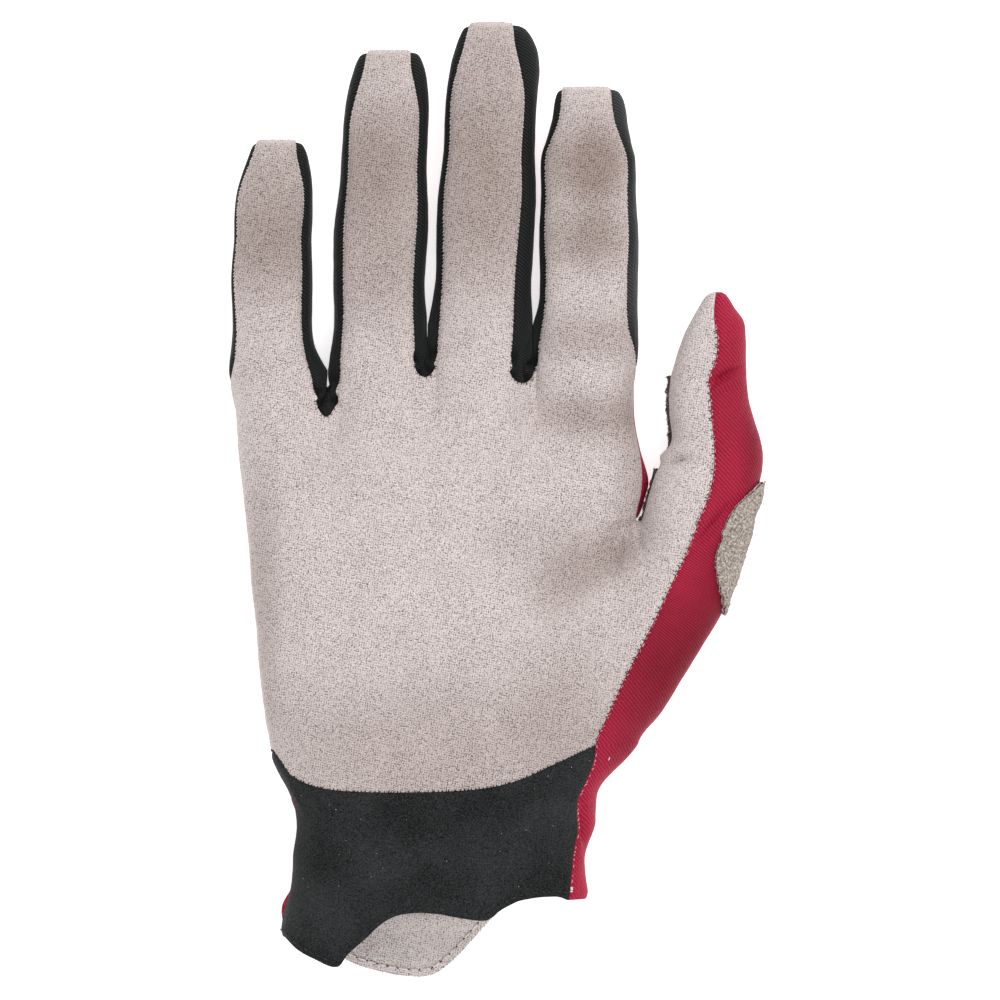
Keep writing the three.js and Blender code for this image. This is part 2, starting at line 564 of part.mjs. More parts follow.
// The cloth's outside as one mesh of shared points, each face marked with its panel
class Shell {
  constructor() {
    this.points = [];
    this.known = new Map();
    this.faces = [];
  }

  vertex(point) {
    const key = [point.x, point.y, point.z].map((c) => Math.round(c * 500)).join();
    if (!this.known.has(key)) {
      this.known.set(key, this.points.length);
      this.points.push(point.clone());
    }
    return this.known.get(key);
  }

  face(panel, corners) {
    const [a, b, c] = corners;
    if (a !== b && b !== c && c !== a) this.faces.push({ panel, corners: [a, b, c] });
  }

  // Rows of points that run from left to right, each row further towards the tips as seen from outside.
  // Each four-sided field is cut along its shorter diagonal.
  sheet(panel, rows) {
    for (let r = 0; r + 1 < rows.length; r += 1) {
      for (let c = 0; c + 1 < rows[r].length; c += 1) {
        const [a, b] = [this.vertex(rows[r][c]), this.vertex(rows[r][c + 1])];
        const [d, e] = [this.vertex(rows[r + 1][c]), this.vertex(rows[r + 1][c + 1])];
        const [first, second] = [this.points[a], this.points[b]];
        if (first.distanceTo(this.points[e]) <= second.distanceTo(this.points[d])) {
          this.face(panel, [a, b, e]);
          this.face(panel, [a, e, d]);
        } else {
          this.face(panel, [a, b, d]);
          this.face(panel, [b, e, d]);
        }
      }
    }
  }

  // Normals at the points, and how much longer the way through the wall is there than across it
  measure() {
    this.normals = this.points.map(() => new THREE.Vector3());
    for (const face of this.faces) {
      const [a, b, c] = face.corners.map((i) => this.points[i]);
      face.normal = b.clone().sub(a).cross(c.clone().sub(a));
      face.corners.forEach((corner, k) => {
        const p = this.points[corner];
        const q = this.points[face.corners[(k + 1) % 3]];
        const r = this.points[face.corners[(k + 2) % 3]];
        const weight = q.clone().sub(p).angleTo(r.clone().sub(p));
        this.normals[corner].addScaledVector(face.normal.clone().normalize(), weight);
      });
      face.normal.normalize();
    }
    const lean = this.points.map(() => ({ sum: 0, count: 0 }));
    this.normals.forEach((n) => n.normalize());
    for (const face of this.faces) {
      for (const corner of face.corners) {
        lean[corner].sum += face.normal.dot(this.normals[corner]);
        lean[corner].count += 1;
      }
    }
    this.depths = lean.map(({ sum, count }) => wall / Math.max(sum / Math.max(count, 1), 0.65));
  }

  // One panel as a closed solid: its faces, the same faces a wall further in, and a rim, each edge
  // drawn back by half the seam gap
  solid(panel) {
    const faces = this.faces.filter((f) => f.panel === panel);
    const edges = new Map();
    for (const { corners } of faces) {
      corners.forEach((a, k) => edges.set(`${a},${corners[(k + 1) % 3]}`, [a, corners[(k + 1) % 3]]));
    }
    const rim = [...edges.values()].filter(([a, b]) => !edges.has(`${b},${a}`));
    const inward = new Map();
    for (const [a, b] of rim) {
      const face = faces.find(({ corners }) => corners.includes(a) && corners.includes(b) &&
        corners[(corners.indexOf(a) + 1) % 3] === b);
      const along = this.points[b].clone().sub(this.points[a]);
      const into = face.normal.clone().cross(along).normalize();
      for (const corner of [a, b]) inward.set(corner, [...(inward.get(corner) ?? []), into]);
    }
    const outside = new Map();
    const inside = new Map();
    for (const { corners } of faces) {
      for (const corner of corners) {
        if (outside.has(corner)) continue;
        const outer = this.points[corner].clone();
        const pulls = inward.get(corner);
        if (pulls) {
          const sum = pulls.reduce((total, v) => total.add(v), new THREE.Vector3());
          const scale = Math.min(pulls.length / Math.max(sum.lengthSq(), 1e-6), 1.5);
          outer.addScaledVector(sum, scale * seamGap / 2);
        }
        outside.set(corner, outer);
        inside.set(corner, outer.clone().addScaledVector(this.normals[corner], -this.depths[corner]));
      }
    }
    const triangles = [];
    for (const { corners: [a, b, c] } of faces) {
      triangles.push([outside.get(a), outside.get(b), outside.get(c)]);
      triangles.push([inside.get(a), inside.get(c), inside.get(b)]);
    }
    for (const [a, b] of rim) {
      triangles.push([outside.get(b), outside.get(a), inside.get(a)]);
      triangles.push([outside.get(b), inside.get(a), inside.get(b)]);
    }
    const positions = triangles.flat().flatMap((p) => p.toArray());
    return new THREE.BufferGeometry().setAttribute("position", new THREE.Float32BufferAttribute(positions, 3));
  }
}

// A thin piece that lies on the glove: its two faces and its rim, from a surface (u, v, height)
function plateGeometry(surface, slices, stacks, low, high) {
  const faces = [low, high].map((height) => {
    const shape = new ParametricGeometry((u, v, target) => target.copy(surface(u, v, height)), slices, stacks);
    return shape.toNonIndexed().getAttribute("position");
  });
  const points = [];
  const push = (attribute, order) => {
    for (let i = 0; i < attribute.count; i += 3) {
      for (const k of order) points.push(new THREE.Vector3().fromBufferAttribute(attribute, i + k));
    }
  };
  push(faces[1], [0, 1, 2]);
  push(faces[0], [0, 2, 1]);
  const ring = [];
  for (let k = 0; k < slices; k += 1) ring.push([k / slices, 0]);
  for (let k = 0; k < stacks; k += 1) ring.push([1, k / stacks]);
  for (let k = slices; k > 0; k -= 1) ring.push([k / slices, 1]);
  for (let k = stacks; k > 0; k -= 1) ring.push([0, k / stacks]);
  ring.forEach(([u, v], k) => {
    const [u2, v2] = ring[(k + 1) % ring.length];
    const [a, b] = [surface(u, v, low), surface(u2, v2, low)];
    const [c, d] = [surface(u, v, high), surface(u2, v2, high)];
    points.push(a, b, d, a, d, c);
  });
  const positions = points.flatMap((p) => p.toArray());
  return new THREE.BufferGeometry().setAttribute("position", new THREE.Float32BufferAttribute(positions, 3));
}

// The back's surface on the thumb's side, s counted as the thumb's rings are, u from its crotch side
function thumbSide(u, s) {
  if (s >= 0) return thumbPoint("back", u, s);
  return bodyPoint({ part: thumb, kind: "strip", u }, "back", crotchShare * (1 + s));
}

// The same surface raised by a height, square to it
function overThumb(u, s, height) {
  const step = 0.01;
  const point = thumbSide(u, s);
  const across = thumbSide(u + step, s).sub(thumbSide(u - step, s));
  const along = thumbSide(u, s + step).sub(thumbSide(u, s - step));
  return point.addScaledVector(along.cross(across).normalize(), height);
}

function buildShell() {
  const shell = new Shell();
  const palmRowPlaces = [];
  for (let k = -cuffRows; k <= 0; k += 1) palmRowPlaces.push(k / cuffRows);
  for (let k = 1; k <= handRows; k += 1) palmRowPlaces.push(crotchShare * (1 - (1 - k / handRows) ** 1.4));
  const rootPlaces = [];
  for (let k = 0; k <= rootRows; k += 1) rootPlaces.push(lerp(crotchShare, 1, k / rootRows));

  for (const side of ["palm", "back"]) {
    const outward = (rows) => (side === "palm" ? rows : [...rows].reverse());
    const columns = columnsOf(side);
    const rowAt = (list, t) => list.map((column) => bodyPoint(column, side, t));
    const cuffPlaces = palmRowPlaces.slice(0, cuffRows + 1);
    const handPlaces = palmRowPlaces.slice(cuffRows);
    const cuffPanel = side === "palm" ? "cuff_panel" : "back_panel";
    const panel = side === "palm" ? "palm_panel" : "back_panel";
    shell.sheet(cuffPanel, outward(cuffPlaces.map((t) => rowAt(columns, t))));
    shell.sheet(panel, outward(handPlaces.map((t) => rowAt(columns, t))));
    const aboveCrotch = columns.filter((c) => c.part !== thumb && !(c.part === index && c.kind === "crotch"));
    shell.sheet(panel, outward(rootPlaces.map((t) => rowAt(aboveCrotch, t))));
    const tipPlaces = fingerSections.map((row) => row.along);
    const tuck = tipPlaces.length - 3;
    for (const finger of fingers) {
      const count = stripColumns[finger.name];
      const rows = tipPlaces.map((s) => {
        const line = [];
        for (let k = 0; k <= count; k += 1) line.push(fingerPoint(finger, side, k / count, s));
        return line;
      });
      shell.sheet(panel, outward(rows.slice(0, tuck + 1)));
      shell.sheet("palm_panel", outward(rows.slice(tuck)));
    }
    const thumbCount = stripColumns.thumb[side];
    shell.sheet(panel, outward(thumbSections.map(({ along }) => {
      const line = [];
      for (let k = 0; k <= thumbCount; k += 1) line.push(thumbPoint(side, k / thumbCount, along));
      return line;
    })));
  }

  const places = fingerSections.map((row) => row.along);
  const gussetRow = (finger, sideways, s) => {
    const line = [];
    for (let k = 0; k <= gussetColumns; k += 1) {
      line.push(gussetPoint(finger, sideways, k / gussetColumns, s));
    }
    return line;
  };
  const upTo = (finger, sideways) => places.map((s) => gussetRow(finger, sideways, s));
  for (let i = 0; i < 3; i += 1) {
    const web = [];
    for (let k = 0; k <= gussetColumns; k += 1) web.push(webPoint(fingers[i], k / gussetColumns));
    const rows = [...upTo(fingers[i], "right").reverse(), web, ...upTo(fingers[i + 1], "left")];
    shell.sheet(`${fingers[i].name}_${fingers[i + 1].name}_fourchette`, rows.reverse());
  }
  shell.sheet("pinky_outer_gusset", upTo(pinky, "left").reverse());
  shell.sheet("index_outer_gusset", upTo(index, "right"));
  return shell;
}

// The suede tab sewn inside the back's hem, whose tongue shows below the cuff. u runs left to right and v
// from the tongue's edge up into the cuff; inside the cuff it follows the back's inner face.
function tabPoint(u, v, height) {
  const y = lerp(tabLevel - tabReach * read(tabEdge, "reach", u), tabLevel + tabTuck, v);
  const x = tabMiddle + tabWidth * (u - 0.5);
  const ringHere = bodyRing(-0.8, "right");
  const inner = onRing(ringHere, angleAt(ringHere, x, "back")).z + wall + 2 * seamGap;
  const z = lerp(seamGap / 2, inner, smooth((y - tabLevel + 7.5) / 6));
  return new THREE.Vector3(x, y, z + height);
}

function patchGeometry(patch, leaf) {
  const surface = (u, v, height) => {
    const s = lerp(patch.from, patch.to, v);
    const toSeam = leaf ? read(leaf, "toSeam", v) : 1;
    const toBack = leaf ? read(leaf, "toBack", v) : 0.06;
    return overThumb(patch.edge + patch.span * lerp(toSeam, -toBack * 0.8, u), s, height);
  };
  return plateGeometry(surface, leaf ? 5 : 2, leaf ? 8 : 5, patchGap, patchGap + patchWall);
}

const suede = new THREE.MeshStandardMaterial({ color: "#c4b8b3", roughness: 0.95, metalness: 0 });
const stretchKnit = new THREE.MeshStandardMaterial({ color: "#1c1e1e", roughness: 0.7, metalness: 0 });
const neoprene = new THREE.MeshStandardMaterial({ color: "#26282a", roughness: 0.9, metalness: 0 });
const redTwill = new THREE.MeshStandardMaterial({ color: "#a01c35", roughness: 0.6, metalness: 0 });
const grip = new THREE.MeshStandardMaterial({ color: "#aaa49c", roughness: 1, metalness: 0 });

const glove = new THREE.Group();
function addPiece(name, geometry, material) {
  const mesh = new THREE.Mesh(geometry, material);
  mesh.name = name;
  glove.add(mesh);
}

const shell = buildShell();
shell.measure();
const panels = {
  palm_panel: suede,
  cuff_panel: neoprene,
  back_panel: redTwill,
  pinky_outer_gusset: stretchKnit,
  pinky_ring_fourchette: stretchKnit,
  ring_middle_fourchette: stretchKnit,
  middle_index_fourchette: stretchKnit,
  index_outer_gusset: stretchKnit,
};
for (const [name, material] of Object.entries(panels)) addPiece(name, shell.solid(name), material);
addPiece("wrist_tab", plateGeometry(tabPoint, 10, 7, 0, tabWall), suede);
addPiece("thumb_knuckle_patch", patchGeometry(knucklePatch, knuckleLeaf), grip);
addPiece("thumb_inner_patch", patchGeometry(innerPatch), grip);
addPiece("thumb_web_patch", patchGeometry(webPatch), grip);

// The origin goes to the middle of the glove's underside
const box = new THREE.Box3().setFromObject(glove);
glove.position.set(-(box.min.x + box.max.x) / 2, -(box.min.y + box.max.y) / 2, -box.min.z);

export default glove;
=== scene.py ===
"""A motocross glove for the right hand, lying on its back with the palm up.

The cloth is worked out as rings round the hand, the fingers and the thumb, in millimetres, with
the same named sizes as the solids. Each panel is its share of that shell, on a fine grid.
"""
import json
import logging
import math
from dataclasses import dataclass, field
from enum import Enum
from typing import ClassVar

import bpy
import numpy as np
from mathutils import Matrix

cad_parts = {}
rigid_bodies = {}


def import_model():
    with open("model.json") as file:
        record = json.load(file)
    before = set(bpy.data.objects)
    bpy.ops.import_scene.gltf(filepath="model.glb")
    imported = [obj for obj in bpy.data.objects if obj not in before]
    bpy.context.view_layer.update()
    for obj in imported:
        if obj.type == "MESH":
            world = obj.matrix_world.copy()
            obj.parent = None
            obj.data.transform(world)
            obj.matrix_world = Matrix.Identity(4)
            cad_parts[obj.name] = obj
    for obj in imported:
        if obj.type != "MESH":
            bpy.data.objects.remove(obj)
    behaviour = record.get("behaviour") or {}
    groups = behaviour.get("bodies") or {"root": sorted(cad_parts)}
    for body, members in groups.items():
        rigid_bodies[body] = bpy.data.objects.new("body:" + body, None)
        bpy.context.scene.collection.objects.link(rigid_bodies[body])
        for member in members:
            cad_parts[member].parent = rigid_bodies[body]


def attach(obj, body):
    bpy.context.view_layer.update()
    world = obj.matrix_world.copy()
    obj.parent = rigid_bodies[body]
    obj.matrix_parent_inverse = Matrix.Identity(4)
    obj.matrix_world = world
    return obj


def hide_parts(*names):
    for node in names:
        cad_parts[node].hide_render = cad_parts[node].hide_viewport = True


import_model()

MM = 0.001
ORIGIN = np.array([-15.691, -71.896, 0.0])  # the form's own zero in the model's frame, mm
LOWEST = 0.02  # how near the cloth's outside and its threads come to the floor, mm
LOWEST_INSIDE = 0.05  # how near the cloth's inner face comes, mm
SHARP_ANGLE = math.radians(55)  # an edge that turns more than this is shaded as an edge
ROD_SIDES = 6
ROD_RINGS = ((-0.92, 0.75), (-0.45, 1.0), (0.45, 1.0), (0.92, 0.75))  # a thread's, by place and width
BIT_POINTS = ROD_SIDES * len(ROD_RINGS) + 2
CROTCH_BLUNT = (1.5, 2.4, 3.2, 1.6)  # how blunt each slot's end is, the thumb's last
log = logging.getLogger("glove")
Array = np.ndarray
Mesh = tuple[Array, Array]  # points, and faces as four point numbers each
Row = tuple[float, ...]
Place = tuple[float, float, float]
Chance = np.random.Generator
Material, Tree, Socket = bpy.types.Material, bpy.types.NodeTree, bpy.types.NodeSocket
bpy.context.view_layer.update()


# Numbers and curves


def lerp(a: Array, b: Array, share: Array) -> Array:
    """Return the value a share of the way from a to b."""
    return a + (b - a) * share


def smooth(share: Array) -> Array:
    """Return 3s^2 - 2s^3 of a share held between 0 and 1."""
    held = np.clip(share, 0.0, 1.0)
    return held * held * (3.0 - 2.0 * held)


def signed_power(value: Array, power: float) -> Array:
    """Return the value's size raised to a power, with its sign kept."""
    return np.sign(value) * np.abs(value) ** power


def crowded(count: int, crowd: float = 0.6) -> Array:
    """Return places from 0 to 1, closer at both ends: k/n - crowd * sin(2 pi k/n) / (2 pi)."""
    even = np.linspace(0.0, 1.0, count + 1)
    return even - crowd * np.sin(2.0 * np.pi * even) / (2.0 * np.pi)


def eased(count: int, power: float) -> Array:
    """Return places from 0 to 1 that crowd towards 1: 1 - (1 - k/(count - 1))^power."""
    return 1.0 - (1.0 - np.linspace(0.0, 1.0, count)) ** power


def pointed(share: Array, digit: int) -> Array:
    """Return the drop of a crotch's end from one side (0) to the other (1): 1 - |2s - 1|^blunt."""
    return 1.0 - np.abs(2.0 * share - 1.0) ** CROTCH_BLUNT[digit]


def bell(x: Array, y: Array, wide: float, long: float, turn: float = 0.0) -> Array:
    """Return exp(-(a^2 + b^2)), a and b being x and y turned by degrees, over the half sizes."""
    c, s = math.cos(math.radians(turn)), math.sin(math.radians(turn))
    return np.exp(-(((x * c + y * s) / wide) ** 2 + ((y * c - x * s) / long) ** 2))


def unit(vectors: Array) -> Array:
    """Return the vectors scaled to length one."""
    return vectors / np.maximum(np.linalg.norm(vectors, axis=-1, keepdims=True), 1e-9)


class Table:
    """Columns of numbers over a key, read on a smooth curve that passes through the rows."""

    def __init__(self, names: str, *rows: Row) -> None:
        """Keep the rows, under the names of their columns, the key's first."""
        self.names = names.split()
        self.rows = np.array(rows, dtype=float)

    def read(self, name: str, place: Array) -> Array:
        """Read a column by cubic Hermite curves, each slope taken from the row before to the row after.

        Args:
            name: the column.
            place: places along the key, held inside the table.

        Returns:
            The column's values at those places.
        """
        keys = self.rows[:, 0]
        values = self.rows[:, self.names.index(name)]
        last = len(keys) - 1
        at = np.clip(np.asarray(place, dtype=float), keys[0], keys[last])
        i = np.searchsorted(keys[1:last], at, side="left")
        before = np.maximum(np.arange(last + 1) - 1, 0)
        after = np.minimum(np.arange(last + 1) + 1, last)
        slopes = (values[after] - values[before]) / (keys[after] - keys[before])
        step = keys[i + 1] - keys[i]
        t = (at - keys[i]) / step
        t2, t3 = t * t, t * t * t
        return ((2 * t3 - 3 * t2 + 1) * values[i] + (t3 - 2 * t2 + t) * step * slopes[i]
                + (3 * t2 - 2 * t3) * values[i + 1] + (t3 - t2) * step * slopes[i + 1])


# The form of the hand


class Side(Enum):
    """The two halves of a ring."""

    PALM = "palm"
    BACK = "back"


class Panel(Enum):
    """The cloth panels of the shell, by the solid each stands for."""

    PALM = "palm_panel"
    CUFF = "cuff_panel"
    BACK = "back_panel"
    PINKY_OUTER = "pinky_outer_gusset"
    PINKY_RING = "pinky_ring_fourchette"
    RING_MIDDLE = "ring_middle_fourchette"
    MIDDLE_INDEX = "middle_index_fourchette"
    INDEX_OUTER = "index_outer_gusset"


BETWEEN = [Panel.PINKY_RING, Panel.RING_MIDDLE, Panel.MIDDLE_INDEX]
THUMB = 4


@dataclass(frozen=True)
class Finger:
    """Sizes of one finger, mm; web is how far the cloth right of it comes forward."""

    length: float
    width: float
    root_width: float
    depth: float
    left_bulge: float
    right_bulge: float
    lean: float
    bow: float
    taper: float
    crotch_width: float
    crotch_level: float
    web: float


@dataclass(frozen=True)
class Ring:
    """A squared-off ellipse, given by its edges, with the x of seams on it."""

    left: Array
    right: Array
    top: Array
    bottom: Array
    fullness: float
    seam: Array = 0.0
    strip_left: Array = 0.0
    strip_right: Array = 0.0

    def at(self, angle: Array) -> Array:
        """Return the ring's points at angles from its top, as x and z.

        Args:
            angle: clockwise as seen from the wrist.

        Returns:
            middle + half width * sin^(2/n), middle + half depth * cos^(2/n), never below the floor.
        """
        power = 2.0 / self.fullness
        half_width = (self.right - self.left) / 2.0
        half_depth = (self.top - self.bottom) / 2.0
        x = self.left + half_width + half_width * signed_power(np.sin(angle), power)
        z = self.bottom + half_depth + half_depth * signed_power(np.cos(angle), power)
        return np.stack(np.broadcast_arrays(x, np.maximum(z, 0.0)), axis=-1)

    def angle_at(self, x: Array, side: Side) -> Array:
        """Return the angle of the ring's point at x, on the palm side or on the back."""
        half_width = np.maximum((self.right - self.left) / 2.0, 1e-6)
        share = np.clip((x - self.left - half_width) / half_width, -1.0, 1.0)
        from_top = np.arcsin(signed_power(share, self.fullness / 2.0))
        return from_top if side is Side.PALM else -math.pi - from_top


@dataclass(frozen=True)
class Band:
    """Columns side by side: a strip of a digit, or the slot to the right of a finger.

    Attributes:
        digit: 0 to 3 from the little finger to the index finger, 4 for the thumb.
        slot: whether the columns lie in the slot to the right of that finger.
        across: their places from left (0) to right (1), as one row.
    """

    digit: int
    slot: bool
    across: Array

    @property
    def sag(self) -> Array:
        """How far the slot's end has dropped at each column."""
        return pointed(self.across, self.digit)


@dataclass
class HandForm:
    """The glove's outside as rings, from the same sizes as the solids, mm.

    Blends, starts and ends are shares of the cuff, of a finger or of the palm. A row of hollows is the
    place across and up, the half sizes, the depth and the turn in degrees. A row of thumb_hollows is the
    place along and across, the half sizes and the depth.
    """

    palm_length: float = 98.0
    palm_depth: float = 25.0
    cuff_length: float = 37.0
    wrist_width: float = 74.0
    wrist_depth: float = 27.0
    seam_rise: float = 11.5
    hem_wave: float = 13.5
    thumb_length: float = 56.0
    thumb_width: float = 25.0
    thumb_depth: float = 22.0
    thumb_lean: float = 4.5
    thumb_crotch: float = 67.0
    pinky_root: float = -3.0
    rest_press: float = 1.2
    finger_fullness: float = 2.4
    body_fullness: float = 2.8
    thumb_fullness: float = 2.3
    seam_gap: float = 0.35
    cuff_blend: float = 0.5
    root_blend: float = 0.28
    opening_end: float = 0.27
    taper_start: float = 0.7
    pinky_blend: float = 0.3
    index_blend: float = 0.2
    palm_blend: float = 0.25
    finger_blend: float = 0.04
    web_reach: float = 0.35
    left_seam: float = math.radians(-100)
    right_seam: float = math.radians(86)
    gap_shift: Row = (0.3, 0.5, 2.3)
    crotch_drop: Row = (0.62, 0.45, 0.42)
    web_slack: Row = (4.0, 3.2, 4.2)
    back_seam: tuple[float, float] = (0.85, 1.0)
    thumb_dip: float = 0.5
    fingers: tuple[Finger, ...] = (
        Finger(66.5, 17, 19.2, 15.5, .7, 1.9, .3, -2, 0, 6.3, -1.2, 8),
        Finger(83.5, 18.2, 18.9, 16.5, 1.9, 2.6, 3, -.5, 0, 5.3, 7.3, 11),
        Finger(86.8, 19, 18.8, 17, 1.5, 3.9, 4.3, .2, 0, 6.2, 6, 11),
        Finger(73, 21, 24.5, 17, 1.2, 2.6, .3, .2, .05, 2.4, 3, 0),
    )
    finger_rings: Table = Table(
        "along strip bulge top bottom",
        (0, 1.0, 1.1, 1.08, -0.07), (0.1, 1.0, 1.1, 1.03, -0.07), (0.23, 0.98, 1.05, 0.97, -0.07),
        (0.37, 1.0, 1.0, 0.94, -0.06), (0.5, 1.02, 0.92, 0.9, -0.04), (0.62, 0.98, 0.82, 0.93, 0.02),
        (0.72, 1.0, 0.74, 1.0, 0.1), (0.8, 0.97, 0.85, 1.04, 0.18), (0.87, 0.83, 1.2, 1.03, 0.27),
        (0.935, 0.67, 1.3, 0.96, 0.38), (0.98, 0.61, 0.8, 0.83, 0.5), (1, 0.59, 0, 0.66, 0.66))
    hand_rings: Table = Table(
        "along left palm_right seam right top",
        (-1, -0.515, 0.51, 0.452, 0.515, 0.96), (-0.75, -0.484, 0.5, 0.465, 0.502, 0.98),
        (-0.5, -0.474, 0.52, 0.478, 0.532, 1.0), (-0.25, -0.417, 0.45, 0.435, 0.484, 1.03),
        (0, -0.412, 0.45, 0.402, 0.508, 1.06), (0.1, -0.426, 0.46, 0.432, 0.568, 1.1),
        (0.2, -0.438, 0.47, 0.463, 0.622, 1.13), (0.3, -0.447, 0.48, 0.504, 0.673, 1.14),
        (0.4, -0.455, 0.488, 0.546, 0.72, 1.12), (0.5, -0.463, 0.495, 0.589, 0.748, 1.08),
        (0.6, -0.47, 0.502, 0.632, 0.774, 1.04), (0.69, -0.477, 0.507, 0.659, 0.793, 1.0),
        (0.77, -0.484, 0.524, 0.66, 0.793, 0.96), (0.87, -0.49, 0.523, 0.66, 0.793, 0.9),
        (1, -0.5, 0.5, 0.66, 0.793, 0.8))
    thumb_rings: Table = Table(
        "along left seam right top bottom",
        (0, -0.55, 0, 0.53, 1.14, 0.08), (0.09, -0.52, 0.069, 0.564, 1.12, 0.08),
        (0.18, -0.47, 0.108, 0.608, 1.1, 0.08), (0.27, -0.389, 0.111, 0.621, 1.08, 0.09),
        (0.36, -0.31, 0.09, 0.585, 1.05, 0.1), (0.45, -0.345, 0.054, 0.5, 1.03, 0.11),
        (0.54, -0.375, 0.028, 0.423, 1.0, 0.13), (0.63, -0.375, 0.002, 0.387, 0.99, 0.16),
        (0.72, -0.345, 0.05, 0.365, 0.97, 0.19), (0.81, -0.296, 0.049, 0.344, 0.93, 0.25),
        (0.89, -0.225, 0.005, 0.31, 0.87, 0.33), (0.95, -0.155, -0.004, 0.205, 0.79, 0.42),
        (0.988, -0.09, 0, 0.11, 0.71, 0.5), (1, 0, 0, 0, 0.6, 0.6))
    cuff_seam: Table = Table(
        "across rise",
        (0, 0.85), (0.025, 0.63), (0.05, 0.38), (0.095, 0.2), (0.15, 0.08), (0.25, 0.01),
        (0.45, 0), (0.64, 0.07), (0.76, 0.25), (0.88, 0.62), (1, 1))
    palm_hem: Table = Table(
        "across rise",
        (0, 0.04), (0.042, -0.15), (0.112, -0.33), (0.2, -0.47), (0.241, -0.24), (0.304, 0.04),
        (0.374, 0.35), (0.444, 0.5), (0.549, 0.52), (0.654, 0.43), (0.759, 0.39), (0.811, 0.59),
        (0.899, 0.78), (0.969, 0.81), (1, 0.74))
    back_hem: Table = Table(
        "across rise",
        (0, 0.04), (0.12, 0.5), (0.3, 0.8), (0.6, 0.88), (0.85, 0.82), (1, 0.74))
    hollows: tuple[Row, ...] = (
        (0.05, 0.5, 0.3, 0.26, 0.07, 0), (0.4, 0.62, 0.07, 0.2, 0.2, -38),
        (0.36, 0.9, 0.13, 0.12, 0.09, 0), (-0.3, 0.95, 0.16, 0.08, 0.04, 0))
    thumb_hollows: tuple[Row, ...] = (
        (0.28, -0.34, 0.2, 0.05, 0.09), (0.62, 0.1, 0.3, 0.05, 0.05))

    def __post_init__(self) -> None:
        """Place the fingers side by side, and the thumb beside the palm."""
        widths = [f.root_width for f in self.fingers]
        gaps = [f.crotch_width for f in self.fingers[:3]]
        self.palm_width = sum(widths) + sum(gaps)
        starts = -self.palm_width / 2 + np.concatenate([[0], np.cumsum(np.array(widths[:3]) + gaps)])
        self.root_left = starts
        self.root_right = starts + widths
        self.middle = starts + np.array(widths) / 2
        self.crotch_share = self.thumb_crotch / self.palm_length
        self.crotch_edge = self.hand_rings.read("palm_right", self.crotch_share) * self.palm_width
        self.thumb_middle = (self.crotch_edge + self.fingers[3].crotch_width / 2
                             - self.thumb_rings.read("left", 0.0) * self.thumb_width)
        self.kept = {side: self._kept_angles(side) for side in Side}

    def from_right(self, angle: Array, side: Side) -> Array:
        """Return an angle on the right of a ring as that side's columns count it."""
        return angle if side is Side.PALM else angle - 2 * math.pi

    def body_ring(self, t: Array, right: str) -> Ring:
        """Return the hand's ring at t, -1 at the hem, 0 at the cuff's seam and 1 at the roots."""
        cuff = smooth(-np.asarray(t) / self.cuff_blend)
        width = lerp(self.palm_width, self.wrist_width, cuff)
        depth = lerp(self.palm_depth, self.wrist_depth, cuff)
        rows = self.hand_rings
        return Ring(rows.read("left", t) * width, rows.read(right, t) * width,
                    rows.read("top", t) * depth, -self.rest_press, self.body_fullness,
                    seam=rows.read("seam", t) * width)

    def thumb_ring(self, s: Array) -> Ring:
        """Return the thumb's ring; below its crotch, s under 0, it slides with the hand's edges."""
        at = np.clip(s, 0.0, 1.0)
        middle = self.thumb_middle + self.thumb_lean * at
        t = self.crotch_share * (1.0 + np.minimum(s, 0.0))

        def edge(name: str, guide: str) -> Array:
            """Return an edge's x: its share of the thumb's width, and the slide of the hand's edge."""
            slide = self.hand_rings.read(guide, t) - self.hand_rings.read(guide, self.crotch_share)
            return middle + self.thumb_rings.read(name, at) * self.thumb_width + slide * self.palm_width

        return Ring(edge("left", "palm_right"), edge("right", "right"),
                    self.thumb_rings.read("top", at) * self.thumb_depth,
                    self.thumb_rings.read("bottom", at) * self.thumb_depth,
                    self.thumb_fullness, seam=edge("seam", "seam"))

    def finger_ring(self, digit: int, s: Array) -> Ring:
        """Return a finger's ring with its front strip's edges; at the root it fills the crotch."""
        finger, rows = self.fingers[digit], self.finger_rings
        at = np.clip(s, 0.0, 1.0)
        middle = self.middle[digit] + finger.lean * at + finger.bow * np.sin(np.pi * at)
        last = np.clip((at - self.taper_start) / (1.0 - self.taper_start), 0.0, 1.0)
        narrowed = at + finger.taper * np.sin(np.pi * last)
        width = lerp(finger.root_width, finger.width, smooth(at / self.root_blend))
        half = width * rows.read("strip", narrowed) / 2
        bulge = np.maximum(rows.read("bulge", at), 0.0)
        left_gap = right_gap = 0.0
        if digit > 0:
            left_gap = self.fingers[digit - 1].crotch_width / 2 - self.gap_shift[digit - 1]
        if digit < 3:
            right_gap = finger.crotch_width / 2 + self.gap_shift[digit]
        opening = np.sin(np.pi / 2 * np.clip(at / self.opening_end, 0.0, 1.0))
        return Ring(middle - half - lerp(left_gap, finger.left_bulge * bulge, opening),
                    middle + half + lerp(right_gap, finger.right_bulge * bulge, opening),
                    rows.read("top", at) * finger.depth, rows.read("bottom", at) * finger.depth,
                    self.finger_fullness, strip_left=middle - half, strip_right=middle + half)

    def strip_angles(self, digit: int, s: Array, side: Side) -> tuple[Array, Array]:
        """Return the angles of a finger strip's edges; the glove's outer edges start at the seams."""
        ring = self.finger_ring(digit, s)
        opened = smooth(np.asarray(s) / (self.index_blend if digit == 3 else self.pinky_blend))
        left = ring.angle_at(ring.strip_left, side)
        right = ring.angle_at(ring.strip_right, side)
        if digit == 0:
            left = lerp(self.left_seam, left, opened)
        if digit == 3:
            right = lerp(self.from_right(self.right_seam, side), right, opened)
        return left, right

